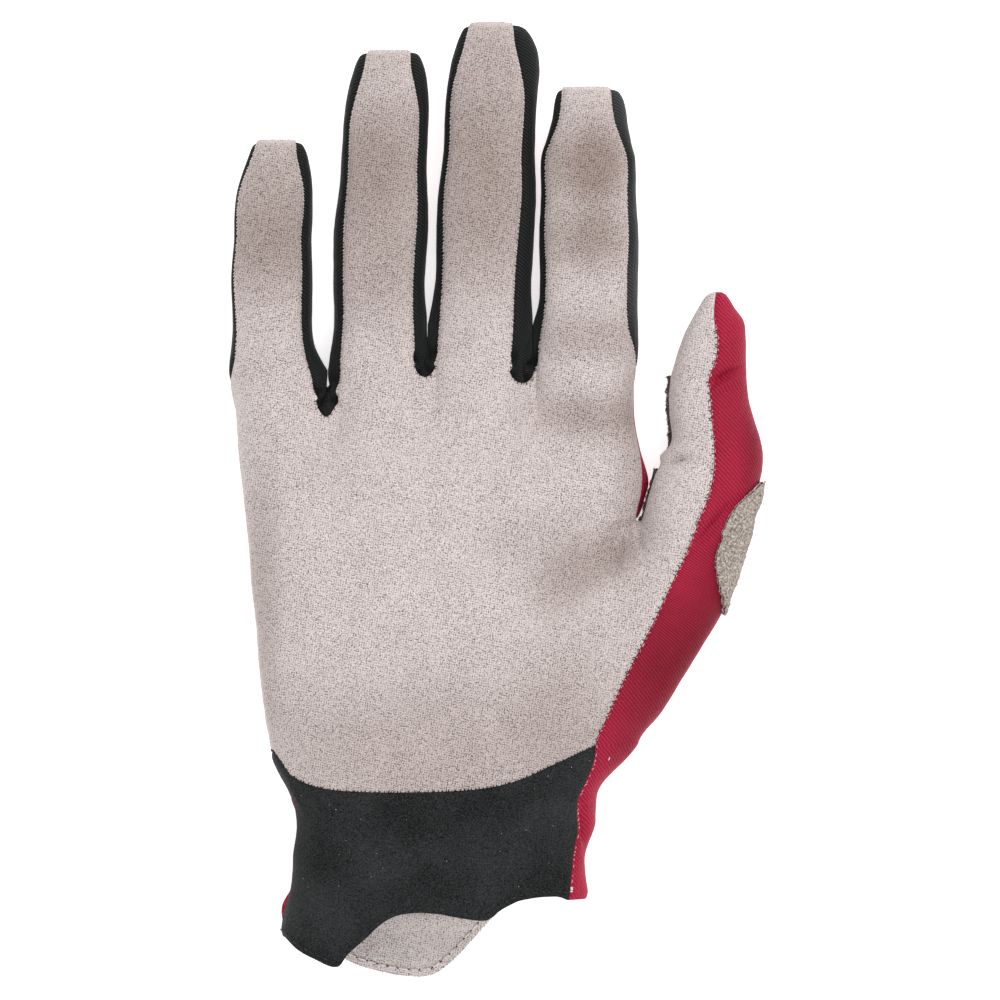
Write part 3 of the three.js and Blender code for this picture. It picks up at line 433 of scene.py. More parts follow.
    def hollow_depth(self, x: Array, y: Array, angle: Array) -> Array:
        """Return how far the hollows, each a bell, press the palm side down there."""
        depth = np.zeros(np.broadcast(x, y).shape)
        across_palm, up_palm = self.palm_width, self.palm_length
        for across, up, wide, long, deep, turn in self.hollows:
            depth += deep * self.palm_depth * bell(x - across * across_palm, y - up * up_palm,
                                                   wide * across_palm, long * up_palm, turn)
        for along, off, wide, long, deep in self.thumb_hollows:
            middle = self.thumb_middle + self.thumb_lean * along + off * self.thumb_width
            level = self.thumb_crotch + along * self.thumb_length
            depth += deep * self.thumb_depth * bell(x - middle, y - level,
                                                    wide * self.thumb_width, long * self.thumb_length)
        return depth * np.maximum(np.cos(angle), 0.0)

    def _kept_angles(self, side: Side) -> tuple[float, float, float, list[tuple[float, float]]]:
        """Return the palm's edge angles, the split to the thumb, and each finger's pair of angles."""
        root = self.body_ring(1.0, "palm_right")
        left, right = self.left_seam, self.from_right(self.right_seam, side)
        split = self.body_ring(self.crotch_share, "right").angle_at(self.crotch_edge, side)
        pairs = [(left if d == 0 else root.angle_at(self.root_left[d], side),
                  right if d == 3 else root.angle_at(self.root_right[d], side)) for d in range(4)]
        return left, right, float(split), pairs

    def palm_angle(self, band: Band, side: Side) -> Array:
        """Return the angles that a finger's or a slot's columns keep on the palm's ring."""
        _, right, _, pairs = self.kept[side]
        if not band.slot:
            return lerp(pairs[band.digit][0], pairs[band.digit][1], band.across)
        following = pairs[band.digit + 1][0] if band.digit < 3 else right
        return lerp(pairs[band.digit][1], following, band.across)

    def hand_angle(self, band: Band, side: Side, t: Array) -> Array:
        """Return the angles that columns keep on the whole hand's ring at t."""
        left, right, split, _ = self.kept[side]
        if band.digit == THUMB:
            ring = self.body_ring(t, "right")
            seam = self.from_right(ring.angle_at(ring.seam, Side.PALM), side)
            return lerp(split, seam, band.across)
        share = (self.palm_angle(band, side) - left) / (right - left)
        return lerp(left, split, share) + np.zeros_like(t)

    def finger_section(self, band: Band, side: Side, s: Array) -> Array:
        """Return x and z of a strip, or of the slot beside it, in the finger's own rings."""
        def place(digit: int, across: Array) -> Array:
            """Return the points of one finger's strip."""
            left, right = self.strip_angles(digit, s, side)
            return self.finger_ring(digit, s).at(lerp(left, right, across))

        if not band.slot:
            return place(band.digit, band.across)
        zero = np.zeros_like(band.across)
        return lerp(place(band.digit, zero + 1.0), place(band.digit + 1, zero), band.across[..., None])

    def thumb_section(self, side: Side, across: Array, s: Array) -> tuple[Array, Array]:
        """Return x and z of the thumb's columns in its own rings, and their angles."""
        ring = self.thumb_ring(s)
        seam = self.from_right(ring.angle_at(ring.seam, Side.PALM), side)
        angle = lerp(self.left_seam, seam, across)
        return ring.at(angle), angle

    def palm_share(self, band: Band, t: Array) -> Array:
        """Return how far the hand's ring has turned into the palm's and the thumb's, steep at the crotch."""
        at = np.clip((t - self.palm_blend) / (self.crotch_share - self.palm_blend), 0.0, 1.0)
        steep = 1.0 - np.sqrt(1.0 - at * at)
        beside = np.zeros_like(band.across)
        if band.digit == 3:
            beside = beside + 1.0 if band.slot else band.across ** 3
        elif band.digit == THUMB:
            beside = (1.0 - band.across) ** 3
        return lerp(smooth(at), steep, beside)

    def body_section(self, band: Band, side: Side, t: Array) -> tuple[Array, Array]:
        """Return x, z and angle of columns below the fingers: the hand's ring, turning into the others."""
        whole = self.hand_angle(band, side, np.minimum(t, self.crotch_share))
        point = self.body_ring(t, "right").at(whole)
        to_palm = self.palm_share(band, t)
        s = np.minimum(t / self.crotch_share - 1.0, 0.0)
        edge = self.kept[side][1]
        if band.digit == THUMB:
            own, own_angle = self.thumb_section(side, band.across, s)
        elif band.digit == 3 and band.slot:
            palm_side = self.body_ring(t, "palm_right").at(edge + np.zeros_like(band.across))
            thumb_side, _ = self.thumb_section(side, np.zeros_like(band.across), s)
            own, own_angle = lerp(palm_side, thumb_side, band.across[..., None]), edge
        else:
            own_angle = self.palm_angle(band, side)
            own = self.body_ring(t, "palm_right").at(own_angle)
        point = lerp(point, own, to_palm[..., None])
        if band.digit < 3 or (band.digit == 3 and not band.slot):
            start = self.crotch_share + self.finger_blend
            to_finger = smooth((t - start) / (1.0 - start)) + np.zeros_like(band.across)
            point = lerp(point, self.finger_section(band, side, np.zeros_like(t)), to_finger[..., None])
        return point, lerp(whole, own_angle, to_palm)

    def root_level(self, band: Band) -> Array:
        """Return the height at which columns reach their root or their slot's end, over the cuff's seam."""
        finger = self.fingers[band.digit]
        if band.slot:
            drop = self.crotch_drop[band.digit] * finger.crotch_width * band.sag
            return self.palm_length + finger.crotch_level - drop
        left = self.fingers[band.digit - 1].crotch_level if band.digit > 0 else self.pinky_root
        return self.palm_length + lerp(left, finger.crotch_level, band.across)

    def body_level(self, band: Band, side: Side, t: Array) -> Array:
        """Return the height of columns at t: hem, cuff seam, thumb crotch and roots, with lerps between."""
        ring = self.body_ring(0.0, "right")
        start = ring.at(self.hand_angle(band, side, np.zeros_like(band.across)))[..., 0]
        first = ring.at(np.array(self.left_seam))[..., 0]
        across = np.clip((start - first) / (ring.seam - first), 0.0, 1.0)
        if side is Side.PALM:
            rise, hem_rows = self.cuff_seam.read("rise", across), self.palm_hem
        else:
            rise, hem_rows = lerp(*self.back_seam, across), self.back_hem
        base = rise * self.seam_rise
        hem = hem_rows.read("rise", across) * self.hem_wave - self.cuff_length
        dip = 0.0
        if band.digit == 3 and band.slot:
            dip = self.thumb_dip * self.fingers[3].crotch_width * band.sag * self.palm_share(band, t)
        share = self.crotch_share
        joins = band.digit == THUMB or (band.digit == 3 and band.slot)
        above = self.thumb_crotch if joins else self.root_level(band)
        return np.where(t <= 0, lerp(base, hem, -np.minimum(t, 0.0)), np.where(
            t <= share, lerp(base, self.thumb_crotch, t / share) - dip,
            lerp(self.thumb_crotch, above, (t - share) / (1 - share))))

    def settled(self, section: Array, y: Array, angle: Array) -> Array:
        """Return points of a section at height y, pressed down by the palm's hollows."""
        x, y, z = np.broadcast_arrays(section[..., 0], y, section[..., 1])
        return np.stack([x, y, np.maximum(z - self.hollow_depth(x, y, angle), 0.0)], axis=-1)

    def body(self, band: Band, side: Side, t: Array) -> Array:
        """Return the hand's surface below the fingers: rows t by the band's columns."""
        section, angle = self.body_section(band, side, t)
        return self.settled(section, self.body_level(band, side, t), angle)

    def tip_level(self, digit: int) -> float:
        """Return the height of a fingertip over the cuff's seam."""
        finger = self.fingers[digit]
        left = self.fingers[digit - 1].crotch_level if digit > 0 else self.pinky_root
        return self.palm_length + finger.crotch_level + finger.length - (finger.crotch_level - left) / 2

    def finger(self, digit: int, side: Side, across: Array, s: Array) -> Array:
        """Return a finger's front or back strip: rows s from root to tip by columns across."""
        band = Band(digit, False, across)
        level = lerp(self.root_level(band), self.tip_level(digit), s)
        return self.settled(self.finger_section(band, side, s), level, self.palm_angle(band, side))

    def thumb(self, side: Side, across: Array, s: Array) -> Array:
        """Return the thumb's front or back: rows s from its crotch to its tip by columns across."""
        section, angle = self.thumb_section(side, across, s)
        return self.settled(section, self.thumb_crotch + self.thumb_length * s, angle)

    def gusset(self, digit: int, to_right: bool, across: Array, s: Array) -> Array:
        """Return the strip beside a finger: rows s by columns from the front edge (0) to the back (1).

        Near the root its middle comes forward by web * sin(pi u) * (1 - s/web_reach)^2.
        """
        front = self.strip_angles(digit, s, Side.PALM)
        back = self.strip_angles(digit, s, Side.BACK)
        start, end = (front[1], back[1] + 2 * math.pi) if to_right else (front[0], back[0])
        section = self.finger_ring(digit, s).at(lerp(start, end, across))
        band = Band(digit, False, np.full_like(across, 1.0 if to_right else 0.0))
        before = self.fingers[digit - 1].web if digit > 0 else 0.0
        forward = self.fingers[digit].web if to_right else before
        web = forward * np.sin(np.pi * across) * np.maximum(1.0 - s / self.web_reach, 0.0) ** 2
        angle = lerp(self.palm_angle(band, Side.PALM), math.pi, smooth(across))
        return self.settled(section, lerp(self.root_level(band), self.tip_level(digit), s) + web, angle)

    def web(self, digit: int, across: Array, w: Array) -> Array:
        """Return the web from a finger (w = 0) to the next (w = 1), by columns from front to back.

        The points lie between the two gussets' roots, dropped as the slot's end is.
        """
        root = np.zeros((1, 1))
        right = self.gusset(digit, True, across, root)
        left = self.gusset(digit + 1, False, across, root)
        points = lerp(right, left, w[..., None])
        edge_drop = self.crotch_drop[digit] * self.fingers[digit].crotch_width
        drop = lerp(edge_drop, self.web_slack[digit], np.sin(np.pi * across))
        points[..., 1] -= pointed(w, digit) * drop
        return points


# The cloth shell


@dataclass
class Grid:
    """One sheet of the shell: its points, its pattern coordinates and its panel."""

    panel: Panel
    points: Array
    pattern: Array
    flipped: bool
    ids: Array = None


def pattern_of(points: Array, column: int, start: Array) -> Array:
    """Return pattern coordinates in mm on a grid of points, as if the cloth lay flat.

    Args:
        points: rows by columns by 3.
        column: the column that the rows are measured from.
        start: the coordinate across at that column, one for each row.

    Returns:
        Across, the length along the row from there; up, the height, as long as the middle column is.
    """
    steps = np.linalg.norm(np.diff(points, axis=1), axis=-1)
    across = np.concatenate([np.zeros((len(points), 1)), np.cumsum(steps, axis=1)], axis=1)
    across = across - across[:, column][:, None] + np.broadcast_to(start, len(points))[:, None]
    middle = points[:, points.shape[1] // 2]
    climbs = np.linalg.norm(np.diff(middle, axis=0), axis=-1) * np.sign(np.diff(middle[:, 1]) + 1e-9)
    gained = np.concatenate([[0.0], np.cumsum(climbs)]) - (middle[:, 1] - middle[0, 1])
    return np.stack([across, points[..., 1] + gained[:, None]], axis=-1)


@dataclass(frozen=True)
class Fold:
    """A soft fold in the cloth at x, y: a bell of half sizes wide and long, turned by degrees.

    It presses in where deep is over 0.
    """

    x: float
    y: float
    wide: float
    long: float
    turn: float
    deep: float

    def depth(self, points: Array) -> Array:
        """Return how far it presses each point in."""
        return self.deep * bell(points[:, 0] - self.x, points[:, 1] - self.y, self.wide, self.long, self.turn)


@dataclass(frozen=True)
class Pull:
    """A place where the cloth is drawn aside: a bell of half sizes reach, times the way it moves."""

    place: Place
    reach: Place
    way: Place

    def move(self, points: Array) -> Array:
        """Return how far each point moves."""
        share = np.exp(-(((points - self.place) / self.reach) ** 2).sum(axis=1))
        return share[:, None] * np.array(self.way)


@dataclass(frozen=True)
class Pucker:
    """Pleats that run out from x, y, as where a gusset is gathered into a crotch.

    They are tall up to bare and fade out over reach, all in mm; start is the first one's angle, radians.
    """

    x: float
    y: float
    reach: float
    rays: int
    tall: float
    start: float
    bare: float = 1.2

    def height(self, points: Array) -> Array:
        """Return tall * sin(rays * angle + start) * exp(-(r / reach)^2), faded out at the point itself."""
        dx, dy = points[:, 0] - self.x, points[:, 1] - self.y
        away = np.hypot(dx, dy)
        return (self.tall * np.sin(self.rays * np.arctan2(dy, dx) + self.start)
                * np.exp(-(away / self.reach) ** 2) * np.minimum(away / self.bare, 1.0))


class Shell:
    """The glove's outside as one cloth of shared points, cut into panels.

    Its sheets are grids of the rows and columns below, dense enough for its folds.
    """

    CUFF_ROWS, HAND_ROWS, ROOT_ROWS, THUMB_ROWS = 47, 85, 41, 81
    FINGER_ROWS, TIP_ROWS, WEB_ROWS = 93, 13, 11
    STRIP_COLUMNS = (24, 23, 24, 27)
    SLOT_COLUMNS = (10, 9, 10, 6)
    THUMB_COLUMNS = {Side.PALM: 28, Side.BACK: 44}
    GUSSET_COLUMNS = 16
    TUCK = 0.935  # how far up a finger its tip starts to fold over
    SAME = 500  # points that round to the same whole number of 1/500 mm are one point
    NARROW = 1.2  # a strip under this width takes its edges' normals, mm

    def __init__(self, form: HandForm) -> None:
        """Lay out every sheet on the form, join the points and work out the normals."""
        self.form = form
        self.grids: dict[str, Grid] = {}
        self._lay_out()
        self._join()

    def _add(self, name: str, panel: Panel, points: Array) -> None:
        """Keep one sheet, its rows running left to right and further towards the tips.

        Args:
            name: the sheet's name, which ends in the side that it lies on, if it lies on one.
            panel: its panel.
            points: rows by columns by 3.
        """
        back = name.endswith(Side.BACK.value)
        if back:
            pattern = pattern_of(points, -1, -points[:, -1, 0])
        elif name.endswith(Side.PALM.value):
            column = points.shape[1] // 2
            pattern = pattern_of(points, column, points[:, column, 0])
        else:
            pattern = pattern_of(points, 0, 0.0)
        self.grids[name] = Grid(panel, points, pattern, back)

    def _lay_out(self) -> None:
        """Lay the hand, the fingers, the thumb and the gussets on the form."""
        form = self.form
        share = form.crotch_share
        cuff = np.linspace(-1.0, 0.0, self.CUFF_ROWS)[:, None]
        hand = share * eased(self.HAND_ROWS, 1.4)[:, None]
        roots = lerp(share, 1.0, np.linspace(0.0, 1.0, self.ROOT_ROWS)[:, None])
        thumb = eased(self.THUMB_ROWS, 1.35)[:, None]
        strips = [crowded(n)[None, :] for n in self.STRIP_COLUMNS]
        slots = [np.linspace(0.0, 1.0, n + 1)[None, 1:-1] for n in self.SLOT_COLUMNS]
        for side in Side:
            palm = side is Side.PALM
            panel = Panel.PALM if palm else Panel.BACK
            thumb_u = crowded(self.THUMB_COLUMNS[side])[None, :]
            bands = [band for d in range(4) for band in (Band(d, False, strips[d]), Band(d, True, slots[d]))]
            bands.append(Band(THUMB, False, thumb_u))
            for name, rows in (("cuff", cuff), ("hand", hand)):
                points = np.concatenate([form.body(b, side, rows) for b in bands], axis=1)
                own = Panel.CUFF if palm and name == "cuff" else panel
                self._add(f"{name}_{side.value}", own, points)
            above = [form.body(b, side, roots) for b in bands[:7]]
            self._add(f"roots_{side.value}", panel, np.concatenate(above, axis=1))
            self.starts = np.cumsum([0] + [b.across.shape[1] for b in bands])
            for d in range(4):
                for name, places in zip(("finger", "tip"), self._finger_rows()):
                    own = Panel.PALM if name == "tip" else panel
                    self._add(f"{name}{d}_{side.value}", own, form.finger(d, side, strips[d], places))
            self._add(f"thumb_{side.value}", panel, form.thumb(side, thumb_u, thumb))
        body, tip = self._finger_rows()
        rows = np.concatenate([body[:-1], tip])
        across = crowded(self.GUSSET_COLUMNS, 0.5)[None, :]
        w = np.linspace(0.0, 1.0, self.WEB_ROWS)[1:-1, None]
        for d in range(3):
            up_right = form.gusset(d, True, across, rows)[::-1]
            up_left = form.gusset(d + 1, False, across, rows)
            points = np.concatenate([up_right, form.web(d, across, w), up_left])[::-1]
            self._add(f"between{d}", BETWEEN[d], points)
        self._add("pinky_outer", Panel.PINKY_OUTER, form.gusset(0, False, across, rows)[::-1])
        self._add("index_outer", Panel.INDEX_OUTER, form.gusset(3, True, across, rows))

    def _finger_rows(self) -> tuple[Array, Array]:
        """Return the rows of a finger up to the fold of its tip, and those of the tip."""
        body = self.TUCK * eased(self.FINGER_ROWS, 1.1)
        tip = self.TUCK + (1.0 - self.TUCK) * eased(self.TIP_ROWS, 1.5)
        return body[:, None], tip[:, None]

    def _join(self) -> None:
        """Merge points that fall together, list the faces and sum their normals at the points."""
        flat = np.concatenate([g.points.reshape(-1, 3) for g in self.grids.values()])
        _, first, inverse = np.unique(np.round(flat * self.SAME).astype(np.int64), axis=0,
                                      return_index=True, return_inverse=True)
        self.points = flat[first]
        inverse = inverse.reshape(-1)
        faces, patterns, owners, at = [], [], [], 0
        for grid in self.grids.values():
            count = grid.points.shape[0] * grid.points.shape[1]
            grid.ids = inverse[at:at + count].reshape(grid.points.shape[:2])
            at += count
            for target, array in ((faces, grid.ids), (patterns, grid.pattern)):
                corners = [array[:-1, :-1], array[:-1, 1:], array[1:, 1:], array[1:, :-1]]
                if grid.flipped:
                    corners.reverse()
                stacked = np.stack(corners, axis=2)
                target.append(stacked.reshape((-1,) + stacked.shape[2:]))
            owners += [grid.panel] * len(faces[-1])
        self.faces, self.patterns = np.concatenate(faces), np.concatenate(patterns)
        self.owners = np.array([list(Panel).index(p) for p in owners])
        self.measure()

    def measure(self) -> None:
        """Sum the faces' normals at the points; where a strip runs out, its edges' normals hold for it."""
        normals = face_vectors(self.points, self.faces)
        total = np.zeros_like(self.points)
        for corner in range(4):
            np.add.at(total, self.faces[:, corner], normals)
        self.normals = unit(total)
        for d in range(4):
            ring = self.grids[f"finger{d}_palm"].ids[-1], self.grids[f"finger{d}_back"].ids[-1]
            middle = self.points[np.concatenate(ring)].mean(axis=0)
            ends = [self.grids[f"tip{d}_{side.value}"].ids[-5:] for side in Side]
            tip = np.unique(np.concatenate(ends, axis=None))
            self.normals[tip] = unit(self.normals[tip] * 0.35 + unit(self.points[tip] - middle))
        for name in ("pinky_outer", "between0", "between1", "between2", "index_outer"):
            ids = self.grids[name].ids
            width = np.linalg.norm(self.points[ids[:, 0]] - self.points[ids[:, -1]], axis=1)
            edges = unit(self.normals[ids[:, :1]] + self.normals[ids[:, -1:]])
            share = np.clip(2.0 - width / self.NARROW, 0.0, 1.0)[:, None, None]
            self.normals[ids[:, 1:-1]] = unit(lerp(self.normals[ids[:, 1:-1]], edges, share))

    def ease(self, region: Fold, times: int) -> None:
        """Smooth the upper side in a region: each point moves towards the mean of its neighbours.

        Args:
            region: a fold whose depth says how much of the way a point moves.
            times: how often.
        """
        share = np.minimum(region.depth(self.points), 1.0) * np.clip(self.normals[:, 2] * 3.0 + 0.6, 0.0, 1.0)
        near = share > 0.02
        ends = edges_of(self.faces[near[self.faces].any(axis=1)])
        ends = np.unique(np.sort(ends, axis=1), axis=0)
        start, end = np.concatenate([ends, ends[:, ::-1]]).T
        count = len(self.points)
        counts = np.maximum(np.bincount(start, minlength=count), 1)[:, None]
        for _ in range(times):
            sums = [np.bincount(start, weights=self.points[end, k], minlength=count) for k in range(3)]
            moved = lerp(self.points, np.stack(sums, axis=1) / counts, share[:, None] * 0.9)
            self.points = np.where(near[:, None], moved, self.points)
        self.measure()

    def press(self, folds: tuple[Fold, ...], pulls: tuple[Pull, ...], ripple: Array) -> None:
        """Draw the cloth aside, then move it along its normals: folds on what faces up, a ripple all over.

        Args:
            folds: the folds of the palm side.
            pulls: the places where the cloth is drawn aside.
            ripple: how far each point moves out, mm.
        """
        self.points = self.points + sum(pull.move(self.points) for pull in pulls)
        facing = np.clip(self.normals[:, 2] * 1.6, 0.0, 1.0)
        depth = sum(fold.depth(self.points) for fold in folds)
        self.points = self.points + self.normals * (ripple - depth * facing)[:, None]
        self.points[:, 2] = np.maximum(self.points[:, 2], LOWEST)
        self.measure()

    def line(self, *parts: tuple[str, object]) -> "SeamLine":
        """Return a seam as a line through grid points: pairs of a sheet's name and an index into its ids."""
        ids = np.concatenate([self.grids[name].ids[index] for name, index in parts])
        ids = ids[np.concatenate([[True], ids[1:] != ids[:-1]])]
        return SeamLine(self.points[ids], self.normals[ids])

    def faces_of(self, *panels: Panel) -> Array:
        """Return which faces belong to the panels."""
        return np.isin(self.owners, [list(Panel).index(panel) for panel in panels])

    def panel(self, panel: Panel) -> tuple[Array, Array, Array]:
        """Return one panel's point numbers in the shell, its faces on them, and its pattern."""
        chosen = self.faces_of(panel)
        used, local = np.unique(self.faces[chosen], return_inverse=True)
        return used, local.reshape(-1, 4), self.patterns[chosen]


@dataclass(frozen=True)
class Stations:
    """Places along a seam, each with its directions along the seam, across it and out of the cloth."""

    places: Array
    along: Array
    out: Array

    @property
    def across(self) -> Array:
        """The direction to the right of the seam's run, seen from outside."""
        return unit(np.cross(self.along, self.out))

    def moved(self, by: Array) -> "Stations":
        """Return the same directions at places moved by so much, mm."""
        return Stations(self.places + by, self.along, self.out)


@dataclass(frozen=True)
class SeamLine:
    """A seam as a line of points with the cloth's normals on it."""

    points: Array
    normals: Array

    def every(self, spacing: float, jitter: float, chance: Chance,
              start: float = 0.0, end: float = 1.0) -> Stations:
        """Return places along the seam.

        Args:
            spacing: their distance, mm.
            jitter: how far each may stand off its place, as a share of the spacing.
            chance: the source of the jitter.
            start, end: the part of the seam's length that is used.
        """
        steps = np.linalg.norm(np.diff(self.points, axis=0), axis=1)
        run = np.concatenate([[0.0], np.cumsum(steps)])
        at = np.arange(start * run[-1] + spacing / 2, end * run[-1], spacing)
        at = np.clip(at + chance.uniform(-jitter, jitter, len(at)) * spacing, 0.0, run[-1])

        def read(values: Array, where: Array) -> Array:
            """Return values at lengths along the seam."""
            return np.stack([np.interp(where, run, values[:, k]) for k in range(3)], axis=1)

        along = unit(read(self.points, at + 0.4) - read(self.points, at - 0.4))
        return Stations(read(self.points, at), along, unit(read(self.normals, at)))


def scattered(points: Array, normals: Array, picks: Array, height: float,
              chance: Chance) -> Stations:
    """Return stations at picked points of a surface, each lying a random way.

    Args:
        points, normals: the surface.
        picks: the numbers of the picked points.
        height: how far they lie over the surface, mm.
        chance: the source of the ways.
    """
    out = normals[picks]
    along = unit(np.cross(out, unit(chance.normal(size=(len(picks), 3)))))
    return Stations(points[picks] + out * height, along, out)


def ripple_at(points: Array, waves: tuple[tuple[float, float], ...], seed: int) -> Array:
    """Return a soft random relief: sums of sines with random directions.

    Args:
        points: places, mm.
        waves: pairs of wavelength and height, mm.
        seed: seed of the directions and phases.

    Returns:
        The height at each point, mm.
    """
    chance = np.random.default_rng(seed)
    height = np.zeros(len(points))
    count = 7
    spread = 2.6  # about the square root of count
    for length, tall in waves:
        turns = unit(chance.normal(size=(count, 3)))
        phases = chance.uniform(0, 2 * np.pi, count)
        stretch = chance.uniform(0.75, 1.35, count)
        angles = points @ (turns * stretch[:, None]).T * 2 * np.pi / length + phases
        height += tall / spread * np.sin(angles).sum(axis=1)
    return height


def distance_to(points: Array, rim: Array) -> Array:
    """Return each point's distance to the nearest rim point, worked out in blocks."""
    nearest = np.empty(len(points))
    many = 4000
    for start in range(0, len(points), many):
        block = points[start:start + many]
        squares = (block ** 2).sum(axis=1)[:, None] + (rim ** 2).sum(axis=1)[None] - 2.0 * block @ rim.T
        nearest[start:start + many] = np.sqrt(np.maximum(squares.min(axis=1), 0.0))
    return nearest


# Meshes


def edges_of(faces: Array) -> Array:
    """Return the faces' edges as pairs of point numbers, each in its face's order."""
    ends = np.stack([faces, np.roll(faces, -1, axis=1)], axis=-1).reshape(-1, 2)
    return ends[ends[:, 0] != ends[:, 1]]


def face_vectors(points: Array, faces: Array) -> Array:
    """Return each face's normal, twice its area long: the cross product of its diagonals."""
    corners = points[faces]
    return np.cross(corners[:, 2] - corners[:, 0], corners[:, 3] - corners[:, 1])


def rim_of(faces: Array) -> Array:
    """Return the edges that only one face has, as pairs in that face's order."""
    ends = edges_of(faces)
    _, back, counts = np.unique(np.sort(ends, axis=1), axis=0, return_index=True, return_counts=True)
    return ends[back[counts == 1]]


def walled(points: Array, normals: Array, faces: Array, pattern: Array,
           wall: float) -> tuple[Array, Array, Array]:
    """Give a sheet its wall: its points, the same points a wall further in, and a rim between.

    Args:
        points, normals: the outside.
        faces: four point numbers a face.
        pattern: pattern coordinates of each face's corners.
        wall: the wall, mm.

    Returns:
        The points, the faces and the pattern of the closed piece.
    """
    count = len(points)
    inner = points - normals * wall
    inner[:, 2] = np.maximum(inner[:, 2], LOWEST_INSIDE)
    rim = rim_of(faces)
    band = np.stack([rim[:, 1], rim[:, 0], rim[:, 0] + count, rim[:, 1] + count], axis=1)
    place = np.zeros((count, 2))
    place[faces.ravel()] = pattern.reshape(-1, 2)
    return (np.concatenate([points, inner]), np.concatenate([faces, faces[:, ::-1] + count, band]),
            np.concatenate([pattern, pattern[:, ::-1], place[band % count]]))


def grid_faces(rows: int, columns: int) -> Array:
    """Return the faces of a grid whose rows run left to right and whose columns run away, facing up."""
    ids = np.arange(rows * columns).reshape(rows, columns)
    return np.stack([ids[:-1, :-1], ids[:-1, 1:], ids[1:, 1:], ids[1:, :-1]], axis=2).reshape(-1, 4)


def grid_normals(points: Array) -> Array:
    """Return a grid's normals: the cross product of its slopes along the rows and along the columns."""
    return unit(np.cross(np.gradient(points, axis=1), np.gradient(points, axis=0)))


def bits(stations: Stations, along: Array, up: Array, length: Array, radius: float,
         bow: float = 0.0) -> Mesh:
    """Return short lengths of thread as one mesh: rods with rounded ends, 30 faces each.

    Args:
        stations: their middles.
        along, up: the direction of each, and one square to it, in which it bows.
        length, radius, bow: its length, its radius, and how far its middle stands up, mm.

    Returns:
        Points at middle + along * a * length/2 + bow * (1 - a^2) * up + the ring, and the faces.
    """
    turns = np.linspace(0, 2 * np.pi, ROD_SIDES + 1)[:-1]
    rings, widths = np.array(ROD_RINGS).T
    a = np.concatenate([np.repeat(rings, ROD_SIDES), [-1.0, 1.0]])
    c, s = (np.append(np.outer(widths, wave), [0.0, 0.0]) for wave in (np.cos(turns), np.sin(turns)))
    up = unit(up - along * (up * along).sum(axis=1, keepdims=True))
    side = np.cross(along, up)
    half = (np.broadcast_to(length, len(along)) / 2)[:, None, None]
    points = (stations.places[:, None] + along[:, None] * a[None, :, None] * half
              + up[:, None] * (radius * c + bow * (1 - a * a))[None, :, None]
              + side[:, None] * (radius * s)[None, :, None])
    ring = np.arange(ROD_SIDES)
    turned = (ring + 1) % ROD_SIDES
    wall = np.stack([ring, turned, turned + ROD_SIDES, ring + ROD_SIDES], axis=1)
    walls = [wall + ROD_SIDES * k for k in range(len(ROD_RINGS) - 1)]
    last = ROD_SIDES * (len(ROD_RINGS) - 1)
    pole = np.full(ROD_SIDES, BIT_POINTS - 2)
    ends = [np.stack([turned, ring, pole, pole], axis=1),
            np.stack([ring + last, turned + last, pole + 1, pole + 1], axis=1)]
    one = np.concatenate(walls + ends)
    faces = one[None] + (np.arange(len(along)) * BIT_POINTS)[:, None, None]
    return points.reshape(-1, 3), faces.reshape(-1, 4)


def joined(parts: list[Mesh]) -> Mesh:
    """Return several meshes as one."""
    starts = np.cumsum([0] + [len(points) for points, _ in parts])
    return (np.concatenate([points for points, _ in parts]),
            np.concatenate([faces + start for (_, faces), start in zip(parts, starts)]))


def new_piece(name: str, points: Array, faces: Array, material: Material,
              pattern: Array | None = None, painted_shade: Array | None = None) -> bpy.types.Object:
    """Make a mesh object from arrays.

    Args:
        name: the piece's name.
        points: its points on the form, mm.
        faces: four point numbers a face; a face that repeats one becomes a triangle.
        material: its finish.
        pattern: pattern coordinates of each face's corners, mm.
        painted_shade: painted shade for each point, kept as the point attribute "tone".

    Returns:
        The object, at the origin of the model's frame.
    """
    following = np.roll(faces, -1, axis=1)
    keep = faces != following
    whole, three = keep.all(axis=1), keep.sum(axis=1) == 3
    triangles = faces[three][keep[three]].reshape(-1, 3)
    mesh = bpy.data.meshes.new(name)
    mesh.from_pydata(((points + ORIGIN) * MM).tolist(), [], faces[whole].tolist() + triangles.tolist())
    mesh.shade_smooth()
    mesh.set_sharp_from_angle(angle=SHARP_ANGLE)
    if pattern is not None:
        corners = np.concatenate([pattern[whole].reshape(-1, 2), pattern[three][keep[three]].reshape(-1, 2)])
        mesh.uv_layers.new(name="cloth").data.foreach_set("uv", (corners * MM).ravel())
    if painted_shade is not None:
        mesh.attributes.new("painted_shade", "FLOAT", "POINT").data.foreach_set("value", painted_shade.astype(np.float32))
    mesh.materials.append(material)
    piece = bpy.data.objects.new(name, mesh)
    bpy.context.scene.collection.objects.link(piece)
    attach(piece, "root")
    return piece


# Finishes


def linear(hex_colour: str) -> tuple[float, float, float, float]:
    """Return an sRGB hex colour as linear values."""
    shares = [int(hex_colour[k:k + 2], 16) / 255 for k in (1, 3, 5)]
    return tuple(c / 12.92 if c <= 0.04045 else ((c + 0.055) / 1.055) ** 2.4 for c in shares) + (1.0,)


def grain(millimetres: float) -> float:
    """Return a noise scale whose grains are about this wide."""
    return 1.0 / (millimetres * MM)


def ribs(millimetres: float) -> float:
    """Return a wave scale whose bands stand this far apart."""
    return math.pi / 10.0 / (millimetres * MM)


